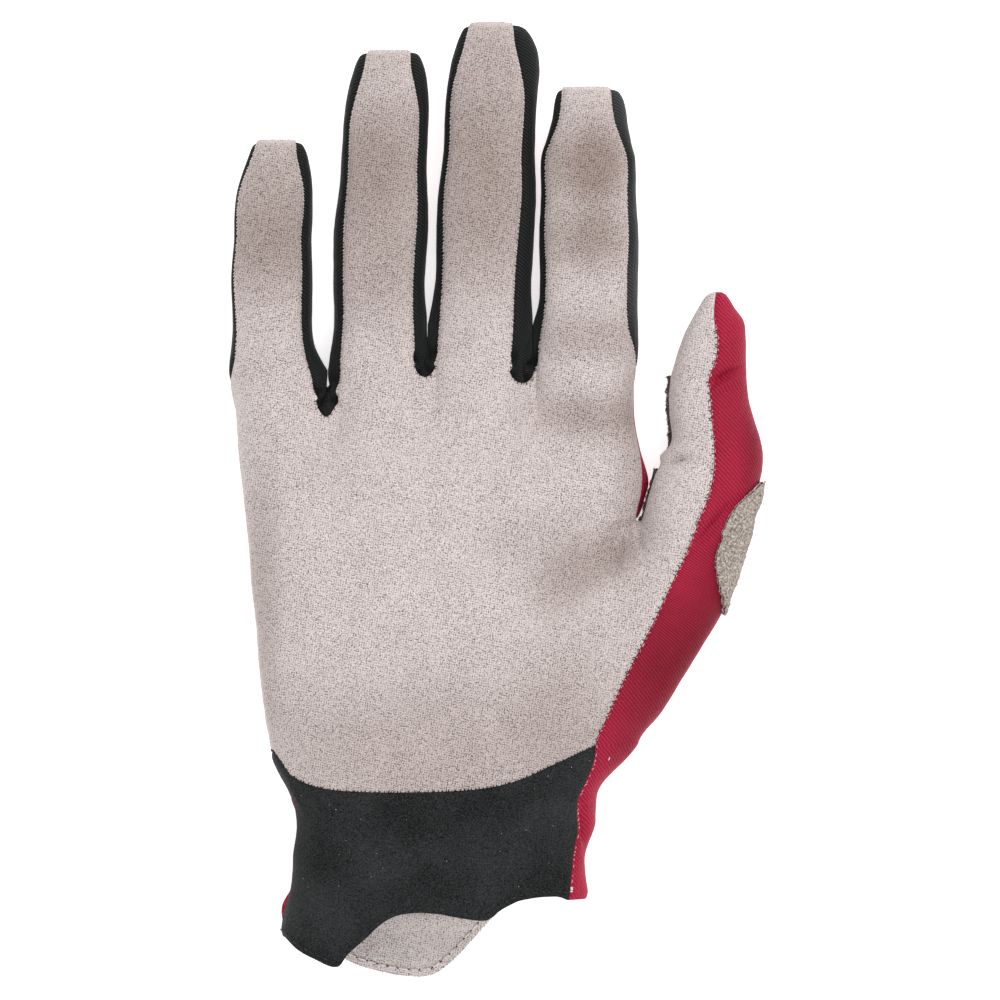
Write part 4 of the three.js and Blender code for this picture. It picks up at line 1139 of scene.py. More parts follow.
def add(tree: Tree, kind: str, inputs: dict | None = None,
        stops: list[tuple[float, str]] | None = None, **settings: object) -> bpy.types.Node:
    """Add a node.

    Args:
        tree: the material's node tree.
        kind: the node's type.
        inputs: a value or another node's output for each input, by name or number.
        stops: a colour ramp's places and sRGB hex colours.
        settings: the node's own properties.

    Returns:
        The node.
    """
    node = tree.nodes.new(kind)
    for name, value in settings.items():
        setattr(node, name, value)
    for name, value in (inputs or {}).items():
        if isinstance(value, Socket):
            tree.links.new(value, node.inputs[name])
        else:
            node.inputs[name].default_value = value
    if stops:
        for _ in stops[2:]:
            node.color_ramp.elements.new(1.0)
        for element, (place, colour) in zip(list(node.color_ramp.elements), stops):
            element.position, element.color = place, linear(colour)
    return node


def new_material(name: str, values: dict) -> tuple[Material, Tree, bpy.types.Node]:
    """Return a material, its tree and its shader with these values, joined to the output."""
    material = bpy.data.materials.new(name)
    material.use_nodes = True
    tree = material.node_tree
    tree.nodes.clear()
    shader = add(tree, "ShaderNodeBsdfPrincipled", values)
    add(tree, "ShaderNodeOutputMaterial", {"Surface": shader.outputs[0]})
    return material, tree, shader


def bands(tree: Tree, vector: Socket, turn: float, spacing: float,
          waver: Place) -> tuple[Socket, Socket]:
    """Draw soft bands on turned coordinates.

    Args:
        tree: the material's node tree.
        vector: the coordinates.
        turn: how far they are turned, degrees.
        spacing: how far apart the bands stand, mm.
        waver: how much the bands waver, in how much detail, and the detail's scale.

    Returns:
        The turned coordinates, and the bands, from 0 to 1.
    """
    turned = add(tree, "ShaderNodeMapping", {"Vector": vector, "Rotation": (0.0, 0.0, math.radians(turn))})
    inputs = {"Vector": turned.outputs[0], "Scale": ribs(spacing)}
    inputs.update(zip(("Distortion", "Detail", "Detail Scale"), waver))
    return turned.outputs[0], add(tree, "ShaderNodeTexWave", inputs, bands_direction="Y").outputs[1]


def weighed(tree: Tree, value: Socket, *parts: tuple[Socket, float]) -> Socket:
    """Return a value plus others, each times its weight."""
    for part, weight in parts:
        inputs = {0: part, 1: weight, 2: value}
        value = add(tree, "ShaderNodeMath", inputs, operation="MULTIPLY_ADD").outputs[0]
    return value


@dataclass(frozen=True)
class Finish:
    """A material: the nodes of its kind give a value and a height, and this turns them into its looks.

    Attributes:
        STOPS: where on the value each of the kind's own colours stands.
        PAINTED_SHADE: the colour of painted shade that the point attribute tone turns it towards, and the way
            they mix.
        WOVEN: whether it is laid out on the pattern's coordinates, not on the model's.
        RELIEF: the bump's strength and its height in mm, where the kind has a height.
    """

    name: str
    STOPS: ClassVar[dict[str, float]] = {}
    PAINTED_SHADE: ClassVar[tuple[str, str] | None] = None
    WOVEN: ClassVar[bool] = False
    RELIEF: ClassVar[tuple[float, float]] = (0.6, 0.3)
    SHADER: ClassVar[dict[str, float]] = {}

    def nodes(self, tree: Tree, place: Socket) -> tuple[Socket, Socket | None]:
        """Add the nodes of the kind, and return its value, and its height or None."""
        raise NotImplementedError

    def material(self) -> Material:
        """Build the material."""
        material, tree, shader = new_material(self.name, self.SHADER)
        place = add(tree, "ShaderNodeTexCoord").outputs["Object"]
        if self.WOVEN:
            place = add(tree, "ShaderNodeUVMap", uv_map="cloth").outputs[0]
        value, height = self.nodes(tree, place)
        stops = [(place, getattr(self, colour)) for colour, place in self.STOPS.items()]
        colour = add(tree, "ShaderNodeValToRGB", {0: value}, stops).outputs[0]
        # painted shade: the point attribute tone turns the colour towards the kind's shade colour
        if self.PAINTED_SHADE:
            shade, blend = linear(getattr(self, self.PAINTED_SHADE[0])), self.PAINTED_SHADE[1]
            painted_shade = add(tree, "ShaderNodeAttribute", attribute_name="painted_shade").outputs["Fac"]
            colour = add(tree, "ShaderNodeMix", {0: painted_shade, 6: colour, 7: shade},
                         data_type="RGBA", blend_type=blend).outputs[2]
        tree.links.new(colour, shader.inputs["Base Color"])
        if height is not None:
            strength, deep = self.RELIEF
            inputs = {"Height": height, "Strength": strength, "Distance": deep * MM}
            tree.links.new(add(tree, "ShaderNodeBump", inputs).outputs[0], shader.inputs["Normal"])
        return material


@dataclass(frozen=True)
class SyntheticSuede(Finish):
    """Microfibre suede, brushed thin over a fine knit: a pale nap, with dark pits where the knit shows."""

    name: str = "synthetic_suede"
    light: str = "#e2d8d6"
    middle: str = "#c6bab8"
    dark: str = "#665b57"
    # the tint that painted shade multiplies into the suede
    tan: str = "#c1b7b0"
    speck: float = 0.28
    pit: float = 0.5
    course: float = 0.6
    cloud: float = 13.0
    turns: tuple[float, float] = (12.0, 98.0)
    STOPS = {"dark": 0.34, "middle": 0.62, "light": 0.86}
    PAINTED_SHADE = ("tan", "MULTIPLY")
    RELIEF = (0.5, 0.3)
    SHADER = {"Roughness": 0.95, "Sheen Weight": 0.12, "Sheen Roughness": 0.5, "Specular IOR Level": 0.15}

    def nodes(self, tree: Tree, place: Socket) -> tuple[Socket, Socket]:
        """Lay the nap over the knit.

        The knit is a lattice of dots, the product of two crossing waves, a little coarser than the real
        one so that it shows, and it fades where the cloth turns down. Loose pits, the middles of random
        cells, lie over it. The attribute tone darkens the nap with painted shade where it lies away from the
        light.
        """
        specks, clouds = (add(tree, "ShaderNodeTexNoise", {
            "Vector": place, "Scale": grain(wide), "Detail": detail, "Roughness": rough}).outputs[0]
            for wide, detail, rough in ((self.speck, 2.0, 0.6), (self.cloud, 5.0, 0.62)))
        pits = add(tree, "ShaderNodeTexVoronoi", {"Vector": place, "Scale": grain(self.pit)})
        rows = [bands(tree, place, turn, self.course, (2.5, 1.0, 4.0))[1] for turn in self.turns]
        normal = add(tree, "ShaderNodeNewGeometry").outputs["Normal"]
        up = add(tree, "ShaderNodeSeparateXYZ", {0: normal}).outputs[2]
        knit = add(tree, "ShaderNodeMath", {0: rows[0], 1: rows[1]}, operation="MULTIPLY").outputs[0]
        knit = add(tree, "ShaderNodeMath", {0: knit, 1: up}, operation="MULTIPLY", use_clamp=True).outputs[0]
        span = {"From Min": 0.08, "From Max": 0.44, "To Min": -0.37, "To Max": -0.03}
        sunk = add(tree, "ShaderNodeMapRange", {"Value": pits.outputs["Distance"], **span}).outputs[0]
        nap = weighed(tree, sunk, (knit, -0.28), (specks, 1.4), (clouds, 0.16))
        return nap, nap


@dataclass(frozen=True)
class StretchKnit(Finish):
    """Nylon and elastane stretch knit, dyed black: nearly matt, with fine ribs across each strip."""

    name: str = "stretch_knit"
    low: str = "#030404"
    high: str = "#242726"
    # the near-black that painted shade mixes in, in the pleats' valleys and by the shade bells
    fold: str = "#060707"
    speck: float = 0.4
    rib: float = 0.75
    slant: float = 34.0
    STOPS = {"low": 0.6, "high": 1.0}
    PAINTED_SHADE = ("fold", "MIX")
    WOVEN = True
    SHADER = {"Roughness": 0.7, "Sheen Weight": 0.06, "Sheen Roughness": 0.4, "Specular IOR Level": 0.15}

    def nodes(self, tree: Tree, place: Socket) -> tuple[Socket, Socket]:
        """Lay slanting bands across the strip, over a fine grain; the attribute tone paints shade into its
        folds.
        """
        _, rows = bands(tree, place, self.slant, self.rib, (1.0, 2.0, 2.0))
        specks = add(tree, "ShaderNodeTexNoise", {"Vector": place, "Scale": grain(self.speck), "Detail": 3.0})
        mixed = weighed(tree, specks.outputs[0], (rows, 0.6))
        return mixed, mixed


@dataclass(frozen=True)
class RibbedTwill(Finish):
    """Polyester twill, dyed red: diagonal ribs 0.8 mm apart, a highlight painted on each crest, shade in each
    groove.
    """

    name: str = "ribbed_twill"
    # painted shade in the grooves and a painted highlight on the crests, over the ribs' own bump
    groove_shade: str = "#760d23"
    body: str = "#90122f"
    crest_highlight: str = "#b42243"
    # the tint that painted shade multiplies into the twill
    shade: str = "#b49ca2"
    thread: float = 0.4
    rib: float = 0.8
    slant: float = -47.0
    patch: float = 9.0
    STOPS = {"groove_shade": 0.42, "body": 0.75, "crest_highlight": 1.0}
    PAINTED_SHADE = ("shade", "MULTIPLY")
    WOVEN = True
    RELIEF = (0.6, 0.4)
    SHADER = {"Roughness": 0.65, "Specular IOR Level": 0.18}

    def nodes(self, tree: Tree, place: Socket) -> tuple[Socket, Socket]:
        """Lay slanting bands, broken along their length by the weft, with worn patches in the colour.

        The attribute tone darkens the twill with painted shade where the cloth turns away from the light.
        """
        turned, rows = bands(tree, place, self.slant, self.rib, (0.6, 1.0, 3.0))
        weft = add(tree, "ShaderNodeTexNoise", {"Vector": turned, "Scale": grain(self.thread), "Detail": 3.0})
        worn = add(tree, "ShaderNodeTexNoise", {"Vector": place, "Scale": grain(self.patch), "Detail": 3.0})
        mixed = weighed(tree, weft.outputs[0], (rows, 0.45))
        return weighed(tree, mixed, (worn.outputs[0], 0.3)), mixed


@dataclass(frozen=True)
class BrushedStretchCloth(Finish):
    """Brushed stretch cloth for the cuff, dyed black: matt, with a fine even grain."""

    name: str = "brushed_stretch_cloth"
    low: str = "#0b0c0d"
    high: str = "#3c3d3e"
    speck: float = 0.36
    cloud: float = 14.0
    STOPS = {"low": 0.5, "high": 0.8}
    SHADER = {"Roughness": 0.92, "Sheen Weight": 0.04, "Specular IOR Level": 0.12}

    def nodes(self, tree: Tree, place: Socket) -> tuple[Socket, Socket]:
        """Lay a fine grain in the colour and the relief, with soft clouds."""
        specks = add(tree, "ShaderNodeTexNoise", {
            "Vector": place, "Scale": grain(self.speck), "Detail": 4.0, "Roughness": 0.7}).outputs[0]
        clouds = add(tree, "ShaderNodeTexNoise", {"Vector": place, "Scale": grain(self.cloud), "Detail": 2.0})
        return weighed(tree, specks, (clouds.outputs[0], 0.25)), specks


@dataclass(frozen=True)
class GripFelt(Finish):
    """Coarse felt with a rubbed rubber face: pale grains over a darker ground."""

    name: str = "grip_felt"
    low: str = "#665b54"
    middle: str = "#a5998f"
    high: str = "#dbd2cb"
    speck: float = 0.6
    STOPS = {"low": 0.38, "middle": 0.5, "high": 0.62}
    RELIEF = (0.8, 0.5)
    SHADER = {"Roughness": 0.95, "Specular IOR Level": 0.15}

    def nodes(self, tree: Tree, place: Socket) -> tuple[Socket, Socket]:
        """Lay coarse grains in the colour and the relief."""
        specks = add(tree, "ShaderNodeTexNoise", {
            "Vector": place, "Scale": grain(self.speck), "Detail": 5.0, "Roughness": 0.72}).outputs[0]
        return specks, specks


@dataclass(frozen=True)
class SewingThread(Finish):
    """Spun polyester sewing thread: two shades along its twist."""

    low: str
    high: str
    twist: float = 0.5
    STOPS = {"low": 0.35, "high": 0.65}
    SHADER = {"Roughness": 0.7, "Specular IOR Level": 0.25}

    def nodes(self, tree: Tree, place: Socket) -> tuple[Socket, None]:
        """Lay a noise about as wide as the thread's twist."""
        twist = add(tree, "ShaderNodeTexNoise", {"Vector": place, "Scale": grain(self.twist), "Detail": 2.0})
        return twist.outputs[0], None


# Sub-assemblies


@dataclass
class SewnPanels:
    """The eight cloth panels of the glove.

    Attributes:
        roll, strip_roll: how far a panel's edge turns in at a seam, and over what distance, mm.
        valley, valley_rounds: the thumb's crotch, and how often it is smoothed.
        waves, seed: a faint relief all over, as ripple_at takes it.
        flat_pleats: how much of the puckers' height is left outside the strips between the fingers.
        shades, red_shades: painted shade in the suede's and the twill's colour, as blunt bells
        exp(-(a^2 + b^2)^1.3) by x, y, half sizes and amount, where the cloth lies away from the light.
    """

    shell: Shell
    wall: float = 1.0
    roll: dict[Panel, tuple[float, float]] = field(default_factory=lambda: {
        Panel.PALM: (0.35, 0.7), Panel.CUFF: (0.5, 0.9), Panel.BACK: (0.6, 0.9)})
    strip_roll: tuple[float, float] = (0.75, 1.0)
    valley: Fold = Fold(45.5, 48.0, 8.0, 17.0, -14.0, 1.5)
    valley_rounds: int = 130
    waves: tuple[tuple[float, float], ...] = ((34.0, 0.16), (13.0, 0.08), (5.5, 0.03))
    seed: int = 7
    flat_pleats: float = 0.15
    folds: tuple[Fold, ...] = (
        Fold(37.5, 56.0, 14, 3.8, 32, 1.7), Fold(45.0, 59.5, 2.6, 5.0, -10, 1.0),
        Fold(44, 52, 9, 3.5, 30, -0.7), Fold(39, 43.5, 14, 5, 28, -0.8), Fold(47.6, 60, 0.9, 6.0, -6, -1.3),
        Fold(49.4, 61.5, 0.9, 5.0, -12, 0.7), Fold(45.5, 67.5, 3.2, 1.2, 12, -0.9),
        Fold(49, 66.0, 2.4, 0.9, 25, 0.7), Fold(50.5, 61.5, 0.8, 3.0, 35, 0.5),
        Fold(60, 82.4, 3.0, 0.9, 14, 1.7), Fold(60.5, 84.6, 2.6, 1.1, 14, -1.0),
        Fold(60.4, 80.6, 2.8, 1.0, 0, -0.4), Fold(37.5, 130, 10, 4.5, 0, 0.8),
        Fold(37, 107, 10, 3.6, 0, 0.8), Fold(37, 90, 10, 4, 0, 0.7), Fold(-15, 158, 9, 4, 0, 0.4),
        Fold(12, 165, 9, 5, 0, 0.4), Fold(-42, 140, 8, 4, 0, 0.4), Fold(72.5, 103.2, 4.8, 0.9, 28, 1.7),
        Fold(73.0, 101.4, 4.8, 1.0, 28, -0.8), Fold(71.5, 99.0, 3.5, 1.0, 20, 0.5),
        Fold(69.9, 66.5, 5.5, 1.0, 42, 1.1), Fold(66.5, 62.5, 5.5, 1.0, 40, 0.9),
        Fold(71.5, 69.5, 4.5, 1.0, 44, 0.6), Fold(57, 30, 1.2, 9, -33, 0.5),
        Fold(37.2, -9, 0.8, 6.0, 4, 1.3), Fold(35.6, -8, 0.8, 7.0, 4, -0.5), Fold(10, -14, 26, 2.2, 5, 0.5),
        Fold(-12, -24, 16, 1.6, -28, 0.4), Fold(22, -26, 12, 1.8, 12, 0.4), Fold(-34, 8, 2.0, 7, 30, 0.6))
    pulls: tuple[Pull, ...] = (
        Pull((39.5, -5.5, 14), (4, 5.5, 9), (0.9, 0, 0)), Pull((-38, -32, 8), (4, 9, 7), (-0.9, 0, 0)),
        Pull((52.0, 76, 5), (3.2, 5.5, 5.0), (2.7, 0, 0)),
        Pull((51.0, 68.8, 5), (2.6, 3.6, 4.5), (2.0, 0, 0)),
        Pull((50.6, 65.5, 8), (2.0, 2.2, 8), (0, 1.5, 0)), Pull((-36, -29, 7), (4, 4.5, 2.0), (-2.0, 0, 0)),
        Pull((-36, -4, 7), (4, 4.0, 2.0), (-1.8, 0, 0)), Pull((-50, 104, 6), (3, 9, 2.6), (-1.6, 0, 0)),
        Pull((70.5, 123.5, 12), (4.5, 3.4, 12), (0.2, 1.9, 0)),
        Pull((57.5, 83.4, 12), (1.8, 1.5, 6), (-1.0, 0, 0)),
        Pull((57.8, 80.4, 12), (1.8, 1.2, 6), (0.6, 0, 0)),
        Pull((-31.3, 136, 5), (2.5, 24, 5), (0.9, 0, 0)), Pull((-25, 136, 5), (2.5, 24, 5), (-0.8, 0, 0)),
        Pull((-30.3, 101.5, 12), (2.2, 5, 4), (0.8, 0, 0)), Pull((-30, 98, 12), (2, 2.6, 5), (0.6, 0, 0)),
        Pull((-24.2, 98.5, 12), (2, 3, 5), (-0.7, 0, 0)), Pull((12, 190.5, 10), (5, 3, 5), (0.3, 0.3, 0)))
    puckers: tuple[Pucker, ...] = (
        Pucker(-27.6, 98.5, 4.6, 4, 1.0, 0.4), Pucker(-3.1, 106.0, 4.2, 4, 1.0, 1.1),
        Pucker(21.6, 105.0, 4.6, 4, 1.0, 2.4))
    # painted shade on the suede: bands on the fingers, the thumb's valley, the palm's edges and its lower
    # part
    shades: tuple[Row, ...] = (
        (-5, 155, 80, 55, 0.18), (-41, 138, 14, 16, 0.68), (-14.5, 158, 13.5, 14, 0.6),
        (-13, 134, 13.5, 17, 0.45), (12.5, 167, 13, 16, 0.45), (12.5, 143, 13, 19, 0.55),
        (39, 156, 14, 9, 0.6), (40, 152, 7, 22, 0.35), (39, 137, 14, 7, 0.5), (39, 113, 14, 6, 0.45),
        (39, 93, 14, 6, 0.6), (0, 8, 52, 22, 0.45), (34, 22, 14, 24, 0.25), (-43, 47, 5, 36, 0.45),
        (45, 60, 5, 7, 0.25), (41, 57.5, 6.5, 6.0, 0.35), (35, 53.5, 7, 6, 0.35), (29, 49, 8, 7, 0.25),
        (28, 62, 18, 8, 0.25), (-40, 158, 10, 8, 0.2), (-14, 183, 10, 7, 0.2), (14, 187, 10, 9, 0.3),
        (49, 78, 5, 34, 0.4))
    # painted shade on the twill, where it turns away from the light
    red_shades: tuple[Row, ...] = (
        (62, 30, 17, 16, 0.85), (74, 50, 9, 16, 0.6), (52, 8, 9, 12, 0.5), (80, 80, 4, 22, 0.6),
        (74, 96, 12, 12, 0.25), (30, -9, 5, 13, 0.9))

    def build(self) -> None:
        """Smooth the thumb's crotch, press the folds in, then cut, wall and dress each panel."""
        shell = self.shell
        shell.ease(self.valley, self.valley_rounds)
        relief = ripple_at(shell.points, self.waves, self.seed)
        gathered = np.zeros(len(shell.points))
        gathered[np.unique(shell.faces[shell.faces_of(*BETWEEN)])] = 1.0
        pleats = sum(pucker.height(shell.points) for pucker in self.puckers)
        shell.press(self.folds, self.pulls, relief + pleats * lerp(self.flat_pleats, 1.0, gathered))
        knit = StretchKnit().material()
        finishes = {panel: (knit, "stretch_rib") for panel in Panel}
        # a lighter copy of the black knit for the index finger's outer side: painted light where it faces the
        # light
        painted_lit_knit = StretchKnit("stretch_knit_painted_lit", "#272a29", "#414543")
        finishes[Panel.INDEX_OUTER] = (painted_lit_knit.material(), "stretch_rib")
        finishes[Panel.PALM] = (SyntheticSuede().material(), "suede")
        finishes[Panel.CUFF] = (BrushedStretchCloth().material(), "cuff_cloth")
        finishes[Panel.BACK] = (RibbedTwill().material(), "ribbed_twill")
        for panel, (material, slot) in finishes.items():
            self._panel(panel, material)

    def _panel(self, panel: Panel, material: Material) -> None:
        """Cut one panel out of the shell, turn its edges in and give it its wall."""
        used, faces, pattern = self.shell.panel(panel)
        points, normals = self.shell.points[used], self.shell.normals[used]
        away = distance_to(points, points[np.unique(rim_of(faces))])
        deep, reach = self.roll.get(panel, self.strip_roll)
        turned = points - normals * (deep * np.exp(-(away / reach) ** 2))[:, None]
        turned[:, 2] = np.maximum(turned[:, 2], LOWEST)
        # painted shade, the same on the outside and on the inner face
        painted_shade = self._painted_shade(panel, points, normals)
        points, faces, pattern = walled(turned, normals, faces, pattern, self.wall)
        piece = new_piece(f"{panel.value}_cloth", points, faces, material, pattern, np.tile(painted_shade, 2))
        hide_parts(panel.value)
        log.info("%s: %d points", piece.name, len(points))

    def _painted_shade(self, panel: Panel, points: Array, normals: Array) -> Array:
        """Return the painted shade kept as the attribute tone: in the pleats' valleys on the strips, by the
        bells elsewhere.
        """
        if panel in BETWEEN:
            return np.clip(-3.0 * sum(pucker.height(points) for pucker in self.puckers), 0.0, 1.0)
        painted_shade = np.zeros(len(points))
        for x, y, wide, long, amount in self.red_shades if panel is Panel.BACK else self.shades:
            square = ((points[:, 0] - x) / wide) ** 2 + ((points[:, 1] - y) / long) ** 2
            painted_shade += amount * np.exp(-square ** 1.3)
        # the bells' painted shade falls only on what faces up
        return np.clip(painted_shade, 0.0, 1.0) * np.clip(normals[:, 2] * 2.0, 0.0, 1.0)


@dataclass
class SeamWork:
    """The threads of the seams: stitches, the strips' selvage, frayed ends and lint."""

    shell: Shell
    seed: int = 11

    def build(self) -> None:
        """Sew every kind of thread."""
        self.chance = np.random.default_rng(self.seed)
        self.black = SewingThread("black_thread", "#0c0c0d", "#222324").material()
        self.pale = SewingThread("pale_thread", "#cfc4c0", "#ebe4e1").material()
        self._selvage()
        self._crotch_fringe()
        self._red_seam()
        self._cuff_seam()
        self._hem()
        self._lint()

    def _lean(self, way: Array, by: Array, least: float, most: float) -> Array:
        """Return a way at each station, leaning by a random amount of another."""
        return unit(way + by * self.chance.uniform(least, most, (len(way), 1)))

    def _ends(self, at: Stations, way: Array, shift: Array, length: tuple[float, float],
              radius: float) -> Mesh:
        """Return threads on a way, at stations moved by shift, each between two lengths, mm."""
        return bits(at.moved(shift), way, at.out, self.chance.uniform(*length, len(way)), radius)

    def _put(self, name: str, meshes: list[Mesh], material: Material) -> None:
        """Make one piece of many bits of thread."""
        points, faces = joined(meshes)
        points[:, 2] = np.maximum(points[:, 2], LOWEST)
        piece = new_piece(name, points, faces, material)
        log.info("%s: %d bits", name, len(points) // BIT_POINTS)

    def _selvage(self) -> None:
        """Lay the pale chain of loops along the suede strips' edges, each loop leaning along the edge."""
        meshes = []
        for digit in range(4):
            for column, side in ((0, 1.0), (-1, -1.0)):
                line = self.shell.line((f"finger{digit}_palm", np.s_[:, column]),
                                       (f"tip{digit}_palm", np.s_[:-2, column]))
                start = 0.2 if digit == 0 and column == 0 else 0.02
                at = line.every(0.8, 0.25, self.chance, start=start)
                inward = at.across * side
                lean = self._lean(at.along * 0.55, inward, 0.35, 0.9)
                meshes.append(self._ends(at, lean, inward * 0.3 - at.out * 0.12, (0.45, 0.85), 0.1))
        self._put("strip_selvage_loops", meshes, self.pale)

    def _crotch_fringe(self) -> None:
        """Let black loops stand over the suede round each crotch and along the strips' lower halves."""
        meshes = []
        for d in range(3):
            start, end = self.shell.starts[2 * d + 1] - 1, self.shell.starts[2 * d + 2]
            parts = ((f"finger{d}_palm", np.s_[45::-1, -1]), ("roots_palm", np.s_[-1, start:end + 1]),
                     (f"finger{d + 1}_palm", np.s_[:45, 0]))
            at = self.shell.line(*parts).every(1.15, 0.5, self.chance)
            toward = self._lean(at.across, at.along, -0.3, 0.3)
            meshes.append(self._ends(at, toward, toward * 0.2 - at.out * 0.15, (0.3, 0.75), 0.12))
        self._put("crotch_fringe", meshes, self.black)

    def _red_seam(self) -> None:
        """Sew suede to twill: black ends on the suede's side, pale pink flecks on the twill's."""
        line = self.shell.line(("cuff_palm", np.s_[:, -1]), ("hand_palm", np.s_[:, -1]),
                               ("thumb_palm", np.s_[:-8, -1]))
        at = line.every(1.35, 0.45, self.chance, start=0.02, end=0.96)
        suede = at.places[:, 1] > 9.0
        at = Stations(at.places[suede], at.along[suede], at.out[suede])
        toward = self._lean(-at.across, at.along, -0.9, 0.9)
        ends = self._ends(at, toward, toward * 0.35 - at.out * 0.2, (0.5, 1.1), 0.12)
        self._put("thumb_seam_ends", [ends], self.black)
        at = line.every(1.4, 0.5, self.chance, start=0.02, end=0.98)
        lean = self._lean(at.along, at.across, -0.4, 0.9)
        flecks = self._ends(at, lean, at.across * 0.3 - at.out * 0.3, (0.3, 0.9), 0.09)
        pink = SewingThread("faded_thread", "#c9627a", "#efc9ce").material()
        self._put("twill_seam_flecks", [flecks], pink)
        end = line.every(0.5, 0.3, self.chance, start=0.012, end=0.022)
        tack = bits(end.moved(end.out * 0.15), end.across, end.out, 0.7, 0.2, 0.15)
        self._put("seam_end_tack", [tack], self.pale)
        self._loose_fleck((43.9, 8.0, 22.0), (0.35, 0.9, 0.0))

    def _loose_fleck(self, place: Place, way: Place) -> None:
        """Lay one loose fleck on the twill, at the point nearest a place, along a way."""
        back = np.unique(self.shell.faces[self.shell.faces_of(Panel.BACK)])
        near = back[np.argmin(((self.shell.points[back] - place) ** 2).sum(axis=1))]
        out = self.shell.normals[near][None]
        fleck = Stations(self.shell.points[near][None] + out * 0.15, unit(np.array([way])), out)
        self._put("twill_loose_fleck", [bits(fleck, fleck.along, out, 0.9, 0.12)], self.pale)

    def _cuff_seam(self) -> None:
        """Let the cuff's black loops stand over the suede's lower edge."""
        at = self.shell.line(("hand_palm", np.s_[0, :])).every(0.9, 0.5, self.chance)
        toward = self._lean(-at.across, at.along, -0.5, 0.5)
        loops = self._ends(at, toward, toward * 0.1 - at.out * 0.2, (0.25, 0.75), 0.15)
        self._put("cuff_seam_loops", [loops], self.black)

    def _hem(self) -> None:
        """Sew the cuff's hem: black stitches 1.4 mm above its wavy edge."""
        grid = self.shell.grids["cuff_palm"].ids
        edge, upper = grid[0], grid[3]
        points = self.shell.points[edge]
        rise = unit(self.shell.points[upper] - points)
        line = SeamLine(points + rise * 1.4, self.shell.normals[upper])
        at = line.every(1.9, 0.08, self.chance, start=0.01, end=0.99)
        thread = SewingThread("hem_thread", "#0b0b0c", "#37393a").material()
        stitches = bits(at.moved(at.out * 0.06), at.along, at.out, 1.35, 0.17, 0.12)
        self._put("cuff_hem_stitches", [stitches], thread)

    def _lint(self) -> None:
        """Scatter a little pale lint over the cuff."""
        grid = self.shell.grids["cuff_palm"].ids[4:-3, 6:-6]
        at = scattered(self.shell.points, self.shell.normals,
                       self.chance.choice(grid.ravel(), 30, replace=False), 0.06, self.chance)
        length = self.chance.uniform(0.1, 0.35, len(at.places))
        self._put("cuff_lint", [bits(at, at.along, at.out, length, 0.035, 0.06)], self.pale)


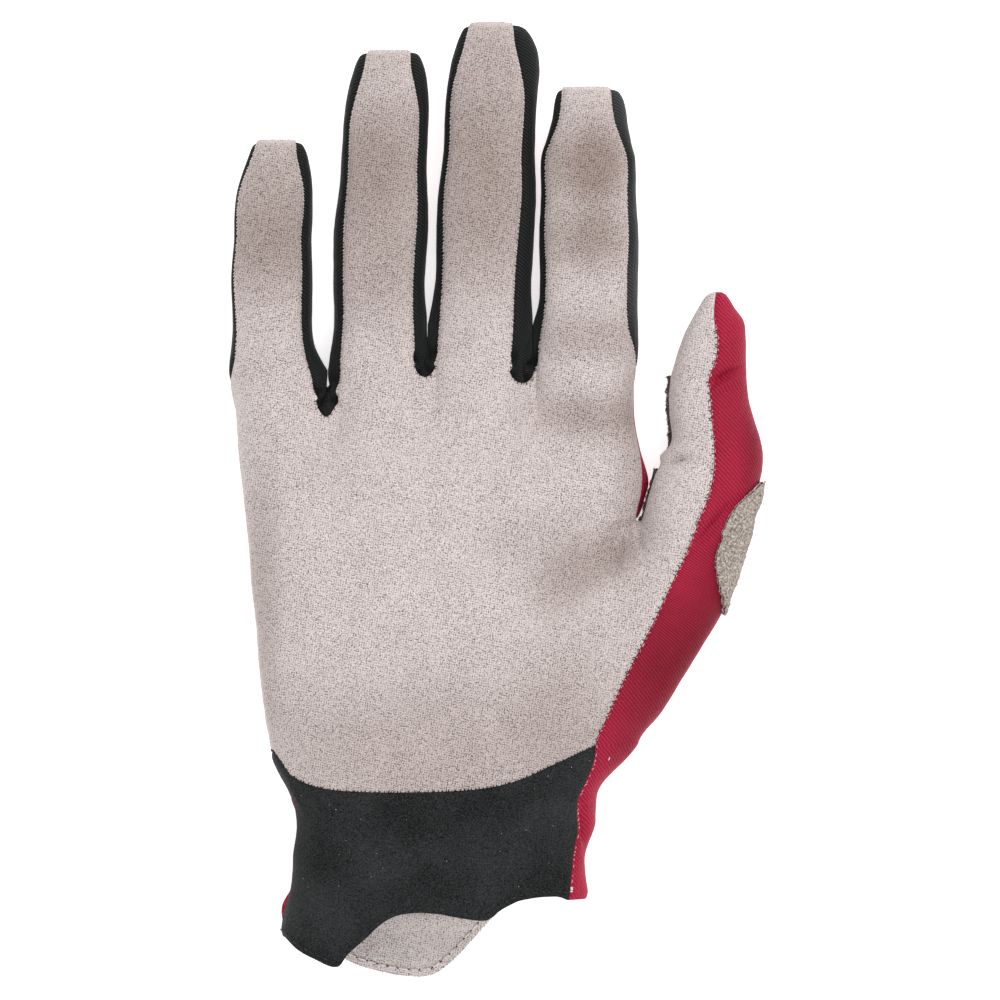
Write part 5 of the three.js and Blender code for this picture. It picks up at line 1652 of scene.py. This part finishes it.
@dataclass
class WristTab:
    """The suede tab sewn inside the back's hem, with its tongue below the cuff."""

    form: HandForm
    width: float = 42.5
    reach: float = 17.3
    tuck: float = 12.0
    level: float = -30.0
    middle: float = -3.9
    wall: float = 1.3
    shell_wall: float = 1.2
    edge: Table = Table(
        "across reach",
        (0, 0.62), (0.06, 0.77), (0.18, 0.89), (0.38, 1), (0.56, 1), (0.68, 0.81), (0.82, 0.45),
        (0.94, 0.1), (1, -0.12))

    def surface(self, u: Array, v: Array) -> Array:
        """Return the tab's top face: u left to right, v from the tongue's edge up into the cuff.

        Height: on the floor at the tongue, then up by a smooth step to the back's inner face.
        """
        y = lerp(self.level - self.reach * self.edge.read("reach", u), self.level + self.tuck, v)
        x = self.middle + self.width * (u - 0.5)
        ring = self.form.body_ring(-0.8, "right")
        inner = ring.at(ring.angle_at(x, Side.BACK))[..., 1] + self.shell_wall + 2 * self.form.seam_gap
        z = lerp(self.form.seam_gap / 2, inner, smooth((y - self.level + 7.5) / 6.0)) + self.wall
        return np.stack(np.broadcast_arrays(x, y, z), axis=-1)

    def build(self) -> None:
        points = self.surface(crowded(72, 0.5)[None, :], crowded(48, 0.6)[:, None])
        flat = points.reshape(-1, 3)
        away = distance_to(flat, np.concatenate([points[0], points[:, 0], points[:, -1]]))
        flat[:, 2] += ripple_at(flat, ((9.0, 0.1), (3.0, 0.04)), 3) - 0.25 * np.exp(-(away / 0.7) ** 2)
        flat[:, 2] -= 0.12 * np.exp(-((away - 1.7) / 0.5) ** 2)
        faces = grid_faces(*points.shape[:2])
        pattern = pattern_of(points, 36, points[:, 36, 0]).reshape(-1, 2)[faces]
        normals = grid_normals(points).reshape(-1, 3)
        # a lighter copy of the suede: painted light that lifts the tab out of the cuff's shadow
        suede = SyntheticSuede("tab_suede_painted_light", "#eae0de", "#d8cdcb").material()
        solid, both, patterns = walled(flat, normals, faces, pattern, self.wall)
        piece = new_piece("wrist_tab_suede", solid, both, suede, patterns, np.zeros(len(solid)))
        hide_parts("wrist_tab")
        chance = np.random.default_rng(5)
        sewn = [self._stitches(chance, 0.05, 0.42), self._stitches(chance, 0.44, 0.99)]
        stitches, holes = (joined(run) for run in zip(*sewn))
        for name, mesh, thread in (
                ("tab_stitches", stitches, SewingThread("tab_thread", "#d3c9c2", "#f3ede8")),
                ("tab_needle_hole_shadows", holes, SewingThread("needle_hole_shade", "#2a2523", "#3c3532")),
                ("tab_fray", self._fray(chance), SewingThread("suede_fibre", "#a3958f", "#cfc3be"))):
            new_piece(name, *mesh, thread.material())

    def _edge_line(self, inset: float) -> SeamLine:
        """Return the tongue's edge on the top face, moved in by an inset, mm."""
        u = np.linspace(0.0, 1.0, 160)
        edge = self.surface(u, np.zeros_like(u))
        run = unit(np.gradient(edge[:, :2], axis=0))
        moved = edge[:, :2] + np.stack([-run[:, 1], run[:, 0]], axis=1) * inset
        inside = (moved[:, 0] - self.middle) / self.width + 0.5
        low = self.level - self.reach * self.edge.read("reach", inside)
        v = (moved[:, 1] - low) / (self.level + self.tuck - low)
        points = self.surface(inside, v)
        return SeamLine(points, np.tile([0.0, 0.0, 1.0], (len(points), 1)))

    def _stitches(self, chance: Chance, start: float, end: float) -> tuple[Mesh, Mesh]:
        """Return one run of stitches, and dark bits between them: painted shade in the needle holes."""
        line = self._edge_line(1.75)
        at = line.every(2.7, 0.04, chance, start, end)
        sewn = bits(at.moved(at.out * 0.1), at.along, at.out, 2.1, 0.24, 0.2)
        # dark bits at the needle holes: painted shade
        holes = bits(at.moved(at.along * 1.35 + at.out * 0.02), at.along, at.out, 0.5, 0.2)
        return sewn, holes

    def _fray(self, chance: Chance) -> Mesh:
        """Return short fibres that stand out of the tongue's cut edge."""
        at = self._edge_line(0.1).every(0.42, 0.5, chance, 0.01, 0.97)
        count = len(at.places)
        toward = unit(at.across + at.along * chance.uniform(-1.1, 1.1, (count, 1))
                      + at.out * chance.uniform(-0.5, 0.2, (count, 1)))
        length = chance.uniform(0.4, 1.1, count)
        places = at.places + toward * length[:, None] * 0.3 - at.out * chance.uniform(0.1, 0.7, (count, 1))
        places[:, 2] = np.maximum(places[:, 2], 0.3)
        return bits(Stations(places, toward, at.out), toward, at.out, length, 0.07, 0.12)


@dataclass(frozen=True)
class Patch:
    """One patch, between two places up the glove's side.

    Attributes:
        up: where it begins and ends, counted as the thumb's rings are.
        round_back: where it starts round the thumb's back from its crotch side, and how far it goes.
        leafy: whether its two long edges follow the leaf's curves.
        fringe: the spacing and the radius of its fringe, mm.
        loose: how many loose fibres lie on it.
    """

    node: str
    up: tuple[float, float]
    round_back: tuple[float, float]
    seed: int
    wall: float = 0.6
    leafy: bool = False
    rows: int = 49
    fringe: tuple[float, float] = (0.22, 0.11)
    loose: int = 14


@dataclass
class ThumbPatches:
    """The coarse patches on the thumb's back: a leaf over the knuckle and two strips at the crotch side."""

    form: HandForm
    gap: float = 0.35
    columns: int = 33
    knuckle: Patch = Patch("thumb_knuckle_patch", (-0.415, 0.175), (0.64, 0.36), 21, 1.0, True, 81,
                           (0.45, 0.07), 170)
    strips: tuple[Patch, ...] = (Patch("thumb_inner_patch", (0.28, 0.64), (0.03, 0.2), 22),
                                 # its start below the crotch lays the dark felt over the slit at the crotch's
                                 # end: painted shadow there
                                 Patch("thumb_web_patch", (-0.05, 0.22), (0.03, 0.16), 23))
    leaf: Table = Table(
        "along to_seam to_back",
        (0, -0.06, 0.12), (0.12, 0.2, 0.1), (0.28, 0.5, 0.16), (0.37, 0.62, 0.5), (0.51, 0.69, 0.65),
        (0.7, 0.69, 0.65), (0.86, 0.58, 0.4), (1, 0.2, 0.04))

    def side(self, u: Array, s: Array) -> Array:
        """Return the back's surface on the thumb's side, above its crotch and below."""
        above = self.form.thumb(Side.BACK, u, s)
        level = self.form.crotch_share * (1.0 + np.minimum(s, 0.0))
        below = self.form.body(Band(THUMB, False, u), Side.BACK, level)
        return np.where(s[..., None] >= 0, above, below)

    def over(self, u: Array, s: Array, height: float) -> Array:
        """Return that surface raised by a height, square to it."""
        step = 0.01
        across = self.side(u + step, s) - self.side(u - step, s)
        along = self.side(u, s + step) - self.side(u, s - step)
        return self.side(u, s) + unit(np.cross(along, across)) * height

    def build(self) -> None:
        """Build the three patches."""
        felt = GripFelt().material()
        # the strips' darker felt; below the crotch it stands in for shadow
        worn = GripFelt("darker_grip_felt", "#35312f", "#5a5450", "#857e79").material()
        pale_fibre = SewingThread("felt_fibre", "#9c928b", "#d9d2cc").material()
        dark_fibre = SewingThread("darker_felt_fibre", "#3a3532", "#7d7570").material()
        self._patch(self.knuckle, felt, pale_fibre)
        for patch in self.strips:
            self._patch(patch, worn, dark_fibre)

    def _sheet(self, patch: Patch) -> tuple[Array, Array]:
        """Return a patch's top face, ragged at its rim, and its normals, as grids.

        A row runs from the seam's side round the thumb's back, between the leaf's edges if it has them.
        """
        u, v = np.linspace(0, 1, self.columns)[None, :], np.linspace(0, 1, patch.rows)[:, None]
        to_seam, to_back = 1.0, 0.06
        if patch.leafy:
            to_seam, to_back = self.leaf.read("to_seam", v), self.leaf.read("to_back", v)
        s = lerp(*patch.up, v) + np.zeros_like(u)
        start, reach = patch.round_back
        place = start + reach * lerp(to_seam, -to_back * 0.8, u) + np.zeros_like(s)
        points = self.over(place, s, self.gap + patch.wall)
        normals = grid_normals(points)
        normals = normals * np.sign((normals * (points - self.side(place, s))).sum(axis=-1, keepdims=True))
        flat = points.reshape(-1, 3)
        rim = np.concatenate([points[0], points[:, -1], points[::-1, 0], points[-1, ::-1]])
        away = distance_to(flat, rim)
        ragged = ripple_at(flat, ((3.4, 0.5), (1.3, 0.35)), patch.seed) * np.exp(-(away / 1.1) ** 2)
        raised = ripple_at(flat, ((7.0, 0.2), (1.6, 0.12)), patch.seed + 1) - 0.3 * np.exp(-(away / 0.6) ** 2)
        inward = unit(points - points.mean(axis=1, keepdims=True))
        across = points.shape[:2] + (1,)
        moved = points + inward * ragged.reshape(across) * 0.7 + normals * raised.reshape(across)
        return moved, normals

    def _fringe(self, patch: Patch, sides: list[SeamLine], chance: Chance) -> list[Mesh]:
        """Return the fibres that stand out of a patch's edges."""
        spacing, radius = patch.fringe
        meshes = []
        for side in sides:
            at = side.every(spacing, 0.5, chance)
            count = len(at.places)
            toward = unit(at.out * chance.uniform(-0.5, 0.7, (count, 1))
                          + at.across * chance.uniform(-1, 1, (count, 1))
                          + at.along * chance.uniform(-0.7, 0.7, (count, 1)))
            meshes.append(bits(at, toward, at.out, chance.uniform(0.4, 1.5, count), radius, 0.2))
        return meshes

    def _patch(self, patch: Patch, felt: Material, fibre: Material) -> None:
        """Build one patch with its wall, its fringe and its loose fibres, and on the leaf a painted shadow
        along its seam-side edge.
        """
        grid, out = self._sheet(patch)
        flat, normals = grid.reshape(-1, 3), out.reshape(-1, 3)
        faces = grid_faces(*grid.shape[:2])
        if np.dot(face_vectors(flat, faces[:1])[0], normals[faces[0, 0]]) < 0:
            faces = faces[:, ::-1]
        solid, both, _ = walled(flat, normals, faces, flat[faces][..., :2], patch.wall)
        piece = new_piece(f"{patch.node}_felt", solid, both, felt)
        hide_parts(patch.node)
        chance = np.random.default_rng(patch.seed)
        sides = [SeamLine(grid[part], out[part]) for part in (np.s_[:, 0], np.s_[:, -1], 0, -1)]
        hairs = self._fringe(patch, sides, chance)
        at = scattered(flat, normals, chance.choice(len(flat), patch.loose, replace=False), 0.05, chance)
        hairs.append(bits(at, at.along, at.out, chance.uniform(0.4, 1.4, patch.loose), 0.05, 0.12))
        fibres = new_piece(f"{patch.node}_fibres", *joined(hairs), fibre)
        if patch.leafy:
            # dark bits sunk along the leaf's seam-side edge: painted shadow of its edge
            at = sides[0].every(0.5, 0.2, chance)
            shade = SewingThread("shaded_edge", "#2c2320", "#4a403b").material()
            loops = bits(at.moved(at.out * -0.35), at.along, at.out, 0.7, 0.16)
            edge = new_piece("thumb_knuckle_edge_shadow", *loops, shade)
        log.info("%s: %d points", piece.name, len(solid))


@dataclass
class Studio:
    """A plain pale floor, soft lights and a camera straight above the glove."""

    camera_height: float = 1.4
    view_width: float = 0.25
    level: float = 0.010
    aim: tuple[float, float] = (0.00045, 0.00035)

    def build(self) -> None:
        """Place the floor, the lights and the camera."""
        scene = bpy.context.scene
        scene.view_settings.view_transform = "Standard"
        world = bpy.data.worlds.new("studio_white")
        world.use_nodes = True
        colour, strength = world.node_tree.nodes["Background"].inputs[:2]
        colour.default_value, strength.default_value = (1.0, 1.0, 1.0, 1.0), 0.5
        scene.world = world
        self._floor()
        self._light("window_light", (0.35, 0.75, 0.75), 0.8, 6.0)
        self._light("ceiling_light", (0.0, -0.15, 1.2), 1.2, 6.0)
        self._light("front_light", (-0.1, -0.85, 0.7), 0.8, 2.6)
        data = bpy.data.cameras.new("camera")
        data.sensor_width = 36.0
        data.lens = 36.0 * (self.camera_height - self.level) / self.view_width
        data.clip_start = 0.05
        camera = bpy.data.objects.new("camera", data)
        camera.location = (self.aim[0], self.aim[1], self.camera_height)
        scene.collection.objects.link(camera)
        scene.camera = camera

    def _floor(self) -> None:
        """Lay a wide matt floor under the glove."""
        half = 1.5
        corners = [(-half, -half, 0), (half, -half, 0), (half, half, 0), (-half, half, 0)]
        mesh = bpy.data.meshes.new("floor")
        mesh.from_pydata(corners, [], [(0, 1, 2, 3)])
        material, _, _ = new_material("matt_white_floor", {
            "Base Color": linear("#fafafa"), "Roughness": 1.0, "Specular IOR Level": 0.0,
            "Emission Color": (1.0, 1.0, 1.0, 1.0), "Emission Strength": 0.6})
        mesh.materials.append(material)
        floor = bpy.data.objects.new("floor", mesh)
        bpy.context.scene.collection.objects.link(floor)

    def _light(self, name: str, place: Place, size: float, power: float) -> None:
        """Hang a square soft light that faces the glove."""
        data = bpy.data.lights.new(name, "AREA")
        data.size = size
        data.energy = power
        light = bpy.data.objects.new(name, data)
        light.location = place
        toward = np.array(place) / np.linalg.norm(place)
        light.rotation_euler = (math.acos(toward[2]), 0.0, math.atan2(toward[0], -toward[1]))
        bpy.context.scene.collection.objects.link(light)


def main() -> None:
    """Build the glove and its studio."""
    logging.basicConfig(level=logging.INFO, format="%(name)s %(message)s")
    form = HandForm()
    shell = Shell(form)
    SewnPanels(shell).build()
    SeamWork(shell).build()
    WristTab(form).build()
    ThumbPatches(form).build()
    Studio().build()
    bpy.context.view_layer.update()


if __name__ == "__main__":
    main()
